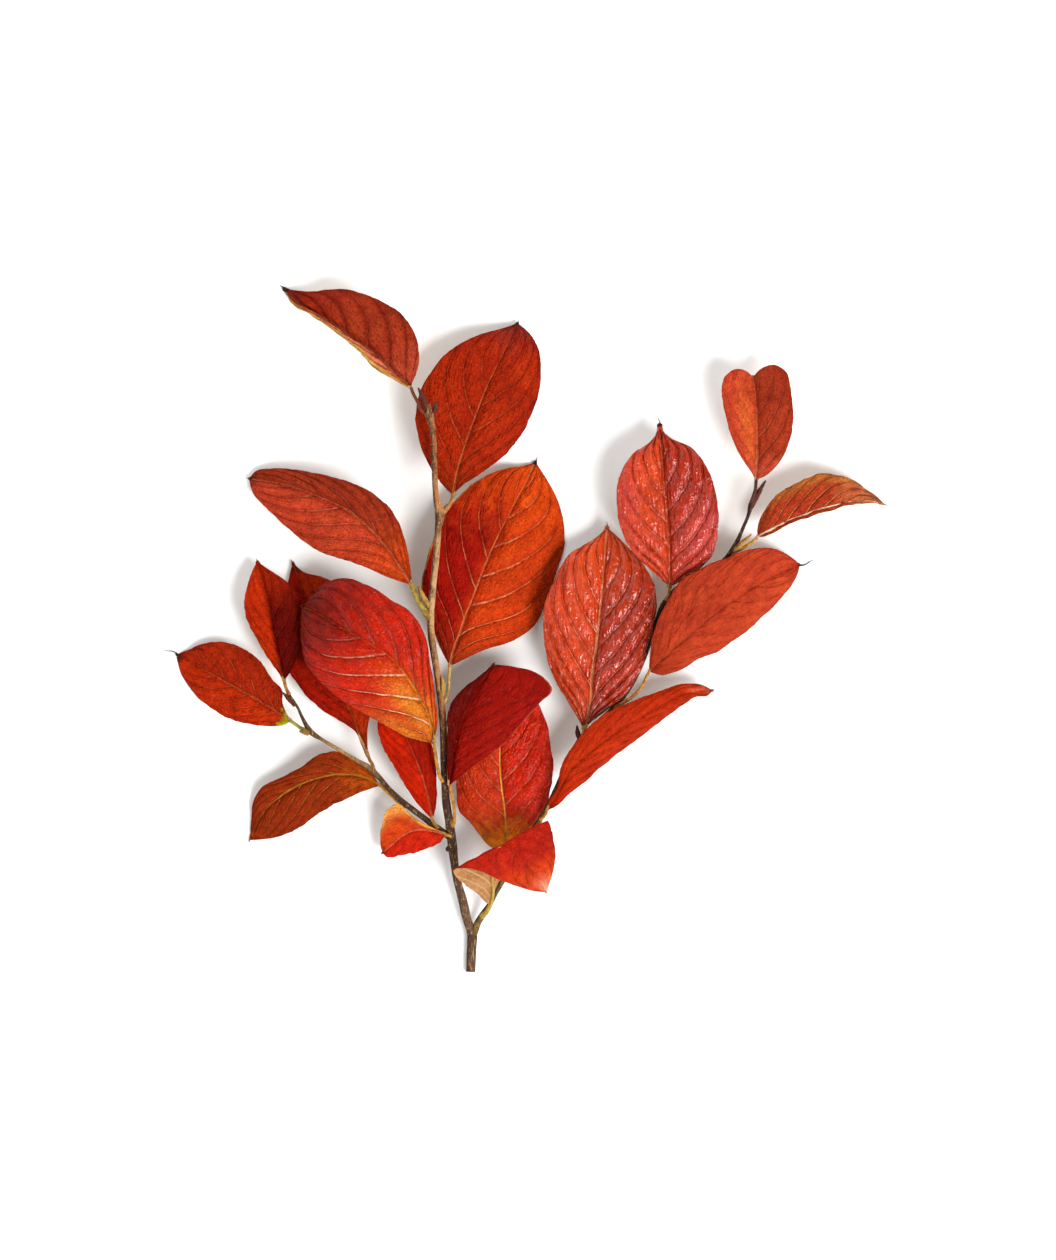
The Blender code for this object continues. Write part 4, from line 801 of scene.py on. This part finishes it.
def bladeMesh(name, shape, look):
    rows = look["rows"]
    columns = look["columns"]
    bpy.ops.mesh.primitive_grid_add(x_subdivisions=columns, y_subdivisions=rows, size=2.0)
    blade = bpy.context.object
    flat = np.array([vertex.co[:2] for vertex in blade.data.vertices])
    column = np.rint((flat[:, 0] + 1) / 2 * columns).astype(int)
    row = np.rint((flat[:, 1] + 1) / 2 * rows).astype(int)
    even = np.linspace(0.0, 1.0, rows + 1)
    crowding = bladeForm["crowding"]
    ahead = (1 - crowding) * even + crowding * (0.5 - 0.5 * np.cos(pi * even))
    side = np.linspace(-1.0, 1.0, columns + 1)
    middle, left, right = leafLines(shape, ahead)
    least = (bladeForm["leastAtBase"] * (1 - ahead) + bladeForm["leastAtTip"] * ahead) * millimetre
    width = np.empty((rows + 1, 2))
    reaches = []
    for hand, margin in enumerate((left, right)):
        reach = margin - middle
        width[:, hand] = np.linalg.norm(reach, axis=1)
        stretch = np.maximum(1.0, least / np.maximum(width[:, hand], 1e-9))
        reaches.append(reach * stretch[:, None])
        width[:, hand] *= stretch
    along = np.gradient(middle, axis=0)
    across = (middle + reaches[1]) - (middle + reaches[0])
    upward = unit(np.cross(across, along))
    swell = shape["arch"] * millimetre * np.sqrt(np.clip(np.sin(pi * ahead), 0.0, 1.0))
    hands = (side > 0).astype(int)
    share = np.abs(side)
    reachGrid = np.where(hands[None, :, None] == 1, reaches[1][:, None, :], reaches[0][:, None, :])
    surface = middle[:, None, :] + reachGrid * share[None, :, None]
    surface = surface + upward[:, None, :] * (swell[:, None] * np.sin(pi * share)[None, :])[:, :, None]
    jag = np.array([[sum(noise.noise(Vector((a * notches, hand * 4.0 + offset, look["seed"]))) * part
                         for notches, offset, part in bladeForm["jags"])
                     for hand in (0, 1)] for a in ahead]) * look["jag"] * millimetre * np.sin(pi * ahead)[:, None]
    outward = unit(reachGrid) * np.where(hands[None, :, None] == 1, jag[:, None, 1:2], jag[:, None, 0:1])
    surface = surface + outward * (share ** bladeForm["jagPower"])[None, :, None]
    fromRib = side[None, :] * np.where(hands[None, :] == 1, width[:, 1:2], width[:, 0:1]) / millimetre
    phase = (ahead[:, None] - look["lean"] * share[None, :] - look["curl"] * share[None, :] ** 3) * look["pairs"]
    phase = phase + np.where(side > 0, 0.0, bladeForm["alternate"])[None, :]

    # relief: the blade swells between the veins, dips at the midrib and waves at its margin
    steps = np.gradient(surface, axis=0)
    spans = np.gradient(surface, axis=1)
    normal = unit(np.cross(spans, steps))
    ends = np.clip(np.sin(pi * ahead) * bladeForm["endFade"], 0.0, 1.0)[:, None]
    between = np.abs(np.sin(pi * phase)) ** bladeForm["swellPower"]
    inward = np.clip(share * bladeForm["ribFade"], 0, 1) * np.clip((1 - share) * bladeForm["marginFade"], 0, 1)
    body = between * inward[None, :] * ends
    rung = np.abs(fromRib) / look["ladderStep"] + np.rint(phase) * bladeForm["rungShift"]
    ladder = body * np.abs(np.sin(pi * rung)) ** bladeForm["rungPower"]
    groove = np.exp(-(fromRib / bladeForm["grooveReach"]) ** 2) * (1 - bladeForm["grooveFade"] * ahead)[:, None]
    seed = look["seed"] * bladeForm["seedStep"]
    ripple, pucker, wave = (bladeForm[key] for key in ("ripple", "pucker", "wave"))
    rippled = np.empty(surface.shape[:2])
    puckered = np.empty(surface.shape[:2])
    waved = np.empty(surface.shape[:2])
    for i in range(rows + 1):
        for j in range(columns + 1):
            x, y = surface[i, j, :2] / millimetre
            rippled[i, j] = noise.noise(Vector((x * ripple, y * ripple, seed)))
            puckered[i, j] = noise.noise(Vector((x * pucker, y * pucker, seed)))
            waved[i, j] = noise.noise(Vector((ahead[i] * wave[0], side[j] * wave[1], seed + 3.1)))
    lift = look["quilt"] * (body - bladeForm["level"]) - look["groove"] * groove
    lift = lift + (look["ripple"] * 2 * rippled + look["pucker"] * 2 * puckered) * ends
    lift = lift + look["ladder"] * ladder
    lift = lift + look["wave"] * waved * (share ** bladeForm["wavePower"])[None, :] * ends
    surface = surface + normal * (lift * millimetre)[:, :, None]
    surface[:, :, 2] = np.maximum(surface[:, :, 2], (look["blade"] + bladeForm["clearance"]) * millimetre)

    blade.data.vertices.foreach_set("co", surface[row, column].astype(np.float32).ravel())
    values = {"along": np.broadcast_to(ahead[:, None], phase.shape),
              "side": np.broadcast_to(side[None, :], phase.shape), "phase": phase,
              "fromRib": fromRib, "relief": body, "blotch": softSpots(look["blotches"], ahead, side)}
    for key, grid in values.items():
        layer = blade.data.attributes.new(key, "FLOAT", "POINT")
        layer.data.foreach_set("value", grid[row, column].astype(np.float32))
    while blade.data.uv_layers:
        blade.data.uv_layers.remove(blade.data.uv_layers[0])
    blade.data.update()
    bpy.ops.object.shade_smooth()
    wall = blade.modifiers.new("bladeWall", "SOLIDIFY")
    wall.thickness = look["blade"] * millimetre
    wall.offset = -1.0
    wall.material_offset = 1
    # in the order of upperSlot, the slot after it, stalkSlot and spikeSlot
    for material in (leafSkin(name, look), underSkin(name, look), stalkSkin(name, look), spikeSkin):
        blade.data.materials.append(material)
    bpy.ops.object.modifier_apply(modifier=wall.name)
    for face in blade.data.polygons:
        faceAhead = ahead[row[face.vertices[0] % len(row)]]
        if faceAhead > look["capFrom"]:
            face.material_index = spikeSlot
        elif faceAhead > bladeForm["tipPart"]:
            face.material_index = upperSlot
    blade.name = name
    ribLine = np.concatenate([surface[:, columns // 2], normal[:, columns // 2], ahead[:, None]], axis=1)
    return blade, ribLine


# The stalk and the dry point: radii in millimetres, each at its share of the length
stalkForm = {
    "rings": 18, "sides": 10, "intoWood": 2.4, "girth": ([0.0, 0.35, 1.0], [0.75, 0.5, 0.5]),
    "ribFrom": 0.02, "ribSink": 0.6, "ribGirth": ([0.0, 0.25, 1.0], [0.48, 0.28, 0.08]),
}
spikeForm = {
    "rings": 9, "sides": 8, "girth": ([0.0, 0.3, 1.0], [0.34, 0.2, 0.06]),
    "start": -4, "sink": 0.1, "bend": 0.12,     # the row where it starts, how deep, and its bend per length
}


def stalkMesh(name, shape, look, ribLine):
    # the stalk runs from inside the wood to the blade, then on under it as the midrib
    stalk = [place(point) for point in shape["stalk"]]
    rootward = stalk[0] + unit(stalk[0] - stalk[1]) * stalkForm["intoWood"] * millimetre
    nearest = woodLine[np.argmin(np.linalg.norm(woodLine - rootward, axis=1))]
    path = [nearest] + stalk + [place(shape["midrib"][0])]
    share = np.linspace(0, 1, stalkForm["rings"])
    upper = curveAt(path, share)
    stalkRadius = np.interp(share, *stalkForm["girth"]) * look["stalkGirth"]
    under = ribLine[(ribLine[:, 6] > stalkForm["ribFrom"]) & (ribLine[:, 6] < look["ribTo"])]
    ribRadius = np.interp(under[:, 6], *stalkForm["ribGirth"])
    depth = look["blade"] + bladeForm["clearance"] + ribRadius * stalkForm["ribSink"]
    under = under[:, :3] - unit(under[:, 3:6]) * (depth * millimetre)[:, None]
    points = np.concatenate([upper[:-1], under])
    radii = np.concatenate([stalkRadius[:-1], ribRadius]) * millimetre
    points[:, 2] = np.maximum(points[:, 2], radii)
    return roundTube(name + "_rib", points, radii, stalkForm["sides"]), stalkSlot


def spikeMesh(name, shape, look, ribLine):
    # the dry point in which the midrib ends, on some leaves a thread
    tip = place(shape["midrib"][-1])
    before = place(shape["midrib"][-2])
    forward = unit(tip - before)
    sideways = unit(np.cross(forward, (0.0, 0.0, 1.0)))
    share = np.linspace(0, 1, spikeForm["rings"])[:, None]
    length = look["spike"] * millimetre
    root = ribLine[spikeForm["start"]]
    start = root[:3] - unit(root[3:6]) * spikeForm["sink"] * millimetre
    end = ribLine[-1, :3] + forward * length
    if look["spikeEnd"]:
        end = place((*look["spikeEnd"], tip[2] / millimetre))
    points = start + (end - start) * share + sideways * spikeForm["bend"] * length * np.sin(share * pi * 1.5)
    radii = np.interp(share[:, 0], *spikeForm["girth"]) * millimetre
    points[:, 2] = np.maximum(points[:, 2], radii)
    return roundTube(name + "_spike", points, radii, spikeForm["sides"]), spikeSlot


def addTube(target, tube, slot):
    # joins a tube onto its leaf, with the leaf's materials and attributes
    tube.data.materials.clear()
    for material in target.data.materials:
        tube.data.materials.append(material)
    for face in tube.data.polygons:
        face.material_index = slot
        face.use_smooth = True
    for key in leafFields:
        tube.data.attributes.new(key, "FLOAT", "POINT")
    return joinInto(target, [tube])


woodLine = np.concatenate([smoothCurve([place(station) for station in stations], 12)
                           for stations in (mainStem, leftShoot, rightShoot, leafSpur)])
spikeSkin, _, spikeShader = newMaterial("dry_leaf_point", 0.7, 0.2)   # dead tissue: dark brown, matte
spikeShader.inputs["Base Color"].default_value = linearColor("2A140C")

for leafName, leafShape in leafShapes.items():
    leafLook = {**leafDefaults, **leafLooks[leafName]}
    for zone in ("left", "right", "base", "tip"):
        leafLook[zone] = pigments[leafLook[zone]]
    leaf, leafRib = bladeMesh(leafName, leafShape, leafLook)
    leaf = addTube(leaf, *stalkMesh(leafName, leafShape, leafLook, leafRib))
    if leafLook["spike"]:
        leaf = addTube(leaf, *spikeMesh(leafName, leafShape, leafLook, leafRib))
    leaf.name = "blade_" + leafName
    leaf.data.name = leaf.name
    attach(leaf, "root")
    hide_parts(leafName)
print("leaves made:", len(leafShapes))


# Thin young bark: smooth and matte, tan and purple-brown in stretches up the sprig and purple-brown on this year's
# growth, with small pale corky specks. Its side facing left, away from the key light, is painted darker as shade.
bark = {
    "strand": 0.5,      # millimetres between lengthwise fibres
    "speck": 1.1,       # millimetres between pale specks
    "patch": 9.0,       # millimetres across a patch of colour
    "pit": 0.62,        # millimetres between dark pits
    "sides": 20,
    "step": 0.8,        # millimetres between rings
    "fewestRings": 12,
    "knotty": 0.09,     # share of the radius by which it swells and thins
    "knotsPerMetre": 300,
}


def barkSkin(name, stops, light, dark):
    # stops: colours up the sprig, each with its place in millimetres along Y
    material, tree, skin = newMaterial(name, 0.68, 0.12)
    spot = addNode(tree, "TexCoord", {}, {}, "Object")
    first, last = stops[0][0], stops[-1][0]
    northing = addNode(tree, "SeparateXYZ", {}, {0: spot}, "Y")
    upSprig = addNode(tree, "MapRange", {}, {0: northing, 1: first * millimetre, 2: last * millimetre})
    color = addNode(tree, "ValToRGB", {}, {0: upSprig})
    elements = color.node.color_ramp.elements
    while len(elements) < len(stops):
        elements.new(0.5)
    for element, (stop, code) in zip(elements, stops):
        element.position = (stop - first) / (last - first)
        element.color = linearColor(code)
    stretch = addNode(tree, "Mapping", {}, {"Vector": spot, "Scale": (1.0, 0.16, 1.0)})
    strand = addNode(tree, "TexNoise", {}, {"Vector": stretch, "Scale": 1000.0 / bark["strand"], "Detail": 4.0,
                                            "Roughness": 0.6}, "Fac")
    patch = addNode(tree, "TexNoise", {}, {"Vector": spot, "Scale": 1000.0 / bark["patch"], "Detail": 4.0}, "Fac")
    pit = addNode(tree, "TexNoise", {}, {"Vector": spot, "Scale": 1000.0 / bark["pit"], "Detail": 2.0}, "Fac")
    speck = addNode(tree, "TexVoronoi", {}, {"Vector": spot, "Scale": 1000.0 / bark["speck"]}, "Distance")
    paintedSideShade = addNode(tree, "SeparateXYZ", {}, {0: addNode(tree, "NewGeometry", {}, {}, "Normal")}, "X")
    # painted shade: where the bark faces left, away from the key light, it is darkened
    for source, low, high, atLow, atHigh, tone in (
            (paintedSideShade, -0.8, 0.0, 0.85, 0.0, dark), (patch, 0.48, 0.62, 0.0, 0.65, dark),
            (strand, 0.52, 0.7, 0.0, 0.5, light), (strand, 0.3, 0.46, 0.5, 0.0, dark),
            (speck, 0.12, 0.2, 0.6, 0.0, light), (pit, 0.58, 0.68, 0.0, 0.7, dark)):
        share = addNode(tree, "MapRange", eased, {0: source, 1: low, 2: high, 3: atLow, 4: atHigh})
        color = addNode(tree, "Mix", rgba, {0: share, 6: color, 7: tone}, 2)
    tree.links.new(color, skin.inputs["Base Color"])
    height = addNode(tree, "Math", timesPlus, {0: patch, 1: 0.6, 2: strand})
    bump = addNode(tree, "Bump", {}, {"Strength": 0.7, "Distance": 0.00025, "Height": height}, "Normal")
    tree.links.new(bump, skin.inputs["Normal"])
    return material


def woodTube(name, stations):
    # the wood thickens and knots a little as it goes
    knots = woodKnots(stations)
    total = np.sum(np.linalg.norm(np.diff(np.array(knots)[:, :3], axis=0), axis=1))
    count = max(bark["fewestRings"], int(total / (bark["step"] * millimetre)))
    line = curveAt(knots, np.linspace(0, 1, count))
    radii = line[:, 3].copy()
    for index in range(count):
        spot = Vector((line[index, 0] * bark["knotsPerMetre"], line[index, 1] * bark["knotsPerMetre"], 5.5))
        radii[index] *= 1 + bark["knotty"] * noise.noise(spot)
    line[:, 2] = np.maximum(line[:, 2], radii)
    return roundTube(name, line[:, :3], radii, bark["sides"])


budForm = {
    "rings": 26, "sides": 14, "scales": 4, "scaleDepth": 0.13,      # depth as a share of the radius
    "hairs": 46, "hairLength": 0.55, "hairRadius": 0.035,           # millimetres
    "hairPlaces": 30, "firstHair": 4,
}


def budMesh(name, stations):
    # a pointed spindle of overlapping scales
    share = np.linspace(0, 1, budForm["rings"])
    line = curveAt(woodKnots(stations), share)
    radii = line[:, 3] * (1 + budForm["scaleDepth"] * np.abs(np.sin(pi * share * budForm["scales"])))
    return roundTube(name, line[:, :3], radii, budForm["sides"])


def fuzz(name, stations, material):
    # short hairs standing out of a bud
    rng = np.random.default_rng(len(name) * 31 + budForm["hairs"])
    last = budForm["hairPlaces"] - 1
    line = curveAt(woodKnots(stations), np.linspace(0, 1, budForm["hairPlaces"]))
    vertices = []
    faces = []
    for hair in range(budForm["hairs"]):
        spot = int(rng.integers(budForm["firstHair"], last))
        ahead = unit(line[min(spot + 1, last), :3] - line[spot - 1, :3])
        sideways = unit(np.cross(ahead, (0.0, 0.0, 1.0)))
        upright = np.cross(sideways, ahead)
        turn = rng.uniform(0, 2 * pi)
        out = cos(turn) * sideways + sin(turn) * upright
        root = line[spot, :3] + out * line[spot, 3] * 0.85
        lean = unit(out * 0.6 + ahead * rng.uniform(0.6, 1.4))
        tip = root + lean * budForm["hairLength"] * rng.uniform(0.6, 1.2) * millimetre
        girth = budForm["hairRadius"] * millimetre
        first = len(vertices)
        for corner in range(3):
            angle = 2 * pi * corner / 3
            vertices.append(tuple(root + girth * (cos(angle) * sideways + sin(angle) * upright)))
        vertices.append(tuple(tip))
        faces += [[first + corner for corner in face] for face in ((0, 1, 3), (1, 2, 3), (2, 0, 3), (0, 2, 1))]
    mesh = bpy.data.meshes.new(name)
    mesh.from_pydata(vertices, [], faces)
    mesh.materials.append(material)
    hairs = bpy.data.objects.new(name, mesh)
    scene.collection.objects.link(hairs)
    return hairs


stemBark = barkSkin("young_bark_stem", [(-103, "4E3626"), (-88, "5A4230"), (-60, "3A2418"), (-38, "361E14"),
                                         (-31, "9A5C32"), (-5, "AC7444"), (10, "A88660"), (40, "9A6238"),
                                         (68, "7E4A2A")], "C8A070", "2E170E")
leftBark = barkSkin("young_bark_left_shoot", [(-62, "3A2418"), (-45, "4A2E1C"), (-36, "9A784A"), (-28, "6E4A2E"),
                                              (-18, "442A1E")], "B89868", "2A150E")
rightBark = barkSkin("young_bark_right_shoot", [(-93, "6E5828"), (-75, "72562A"), (-30, "442616"), (20, "361A1A"),
                                                (40, "361A18")], "9A7840", "24110E")
# bud scales: dull, purple-brown at the tips, and still green on the buds in the axils
budBark = barkSkin("bud_scale", [(-93, "4E261A"), (60, "4E241A")], "80482E", "260F0A")
shootBudBark = barkSkin("green_bud_scale", [(-62, "94803A"), (30, "9C6E34")], "B89C58", "5E3C1C")
youngBuds = ("upper_axil", "centre_axil", "left_node", "right_node")

woodTubes = []
for tubeName, stations, material in (("stem", mainStem, stemBark), ("spur", leafSpur, stemBark),
                                     ("knob", stemKnob, stemBark), ("leftShoot", leftShoot, leftBark),
                                     ("rightShoot", rightShoot, rightBark)):
    woodTubes.append(woodTube(tubeName, stations))
    coat(woodTubes[-1], material)
wood = joinInto(woodTubes[0], woodTubes[1:])
wood.name = "twig_wood"
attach(wood, "root")
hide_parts("twig")
print("twig made")

for budName, budStations in buds.items():
    budScale = shootBudBark if budName in youngBuds else budBark
    bud = budMesh("bud_" + budName, budStations)
    coat(bud, budScale)
    bud = joinInto(bud, [fuzz("hairs_" + budName, budStations, budScale)])
    bud.name = "bud_" + budName
    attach(bud, "root")
    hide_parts("twig")
print("buds made:", len(buds))


# Studio: pale floor, a soft square key light at the lower right, a weak fill at the upper left,
# and a sky that is bright all round and dim overhead. Lengths in metres, powers in watts.
studio = {
    "floorColor": "FCFCFB", "floorSize": 6.0, "floorHeight": -0.00002,
    "cameraHeight": 4.0, "aimHeight": 0.008, "sensor": 36.0,
    "key": {"location": (1.0, -0.84, 1.68), "size": 1.0, "power": 55.0},
    "fill": {"location": (-1.2, 0.9, 1.6), "size": 2.4, "power": 7.0},
    "skyLow": 2.0, "skyOverhead": 0.1, "skyFrom": 0.4, "skyTo": 0.8,
}


def addFloor():
    bpy.ops.mesh.primitive_plane_add(size=studio["floorSize"], location=(0.0, 0.0, studio["floorHeight"]))
    floor = bpy.context.object
    floor.name = "floor"
    material, _, skin = newMaterial("matte_paper_floor", 0.9, 0.1)    # plain off-white, without shine
    skin.inputs["Base Color"].default_value = linearColor(studio["floorColor"])
    floor.data.materials.append(material)


def addLight(name, location, size, power):
    # a square light that faces the middle of the sprig
    light = bpy.data.lights.new(name, "AREA")
    light.size = size
    light.energy = power
    lamp = bpy.data.objects.new(name, light)
    lamp.location = location
    lamp.rotation_euler = (-Vector(location)).to_track_quat("-Z", "Y").to_euler()
    scene.collection.objects.link(lamp)


def addSky():
    # dim overhead, so that level leaves mirror little of it to the camera
    world = bpy.data.worlds.new("studioSky")
    world.use_nodes = True
    tree = world.node_tree
    upward = addNode(tree, "SeparateXYZ", {}, {0: addNode(tree, "TexCoord", {}, {}, "Generated")}, "Z")
    strength = addNode(tree, "MapRange", eased, {0: upward, 1: studio["skyFrom"], 2: studio["skyTo"],
                                                 3: studio["skyLow"], 4: studio["skyOverhead"]})
    tree.nodes["Background"].inputs["Color"].default_value = linearColor("FFFFFF")
    tree.links.new(strength, tree.nodes["Background"].inputs["Strength"])
    scene.world = world


def addCamera():
    # the whole photograph frame spans 1260 pixels from top to bottom at the height of the leaves
    frameHeight = photoFrame[1] * pixel
    distance = studio["cameraHeight"] - studio["aimHeight"]
    camera = bpy.data.cameras.new("photoCamera")
    camera.sensor_width = studio["sensor"]
    camera.lens = studio["sensor"] * distance / frameHeight
    camera.clip_start = 0.1
    camera.clip_end = 20.0
    eye = bpy.data.objects.new("photoCamera", camera)
    x = (photoFrame[0] / 2 - photoCentre[0]) * pixel
    y = (photoCentre[1] - photoFrame[1] / 2) * pixel
    eye.location = (x, y, studio["cameraHeight"])
    scene.collection.objects.link(eye)
    scene.camera = eye


addFloor()
addLight("keyLight", **studio["key"])
addLight("fillLight", **studio["fill"])
addSky()
addCamera()
scene.view_settings.view_transform = "Standard"
print("studio made")
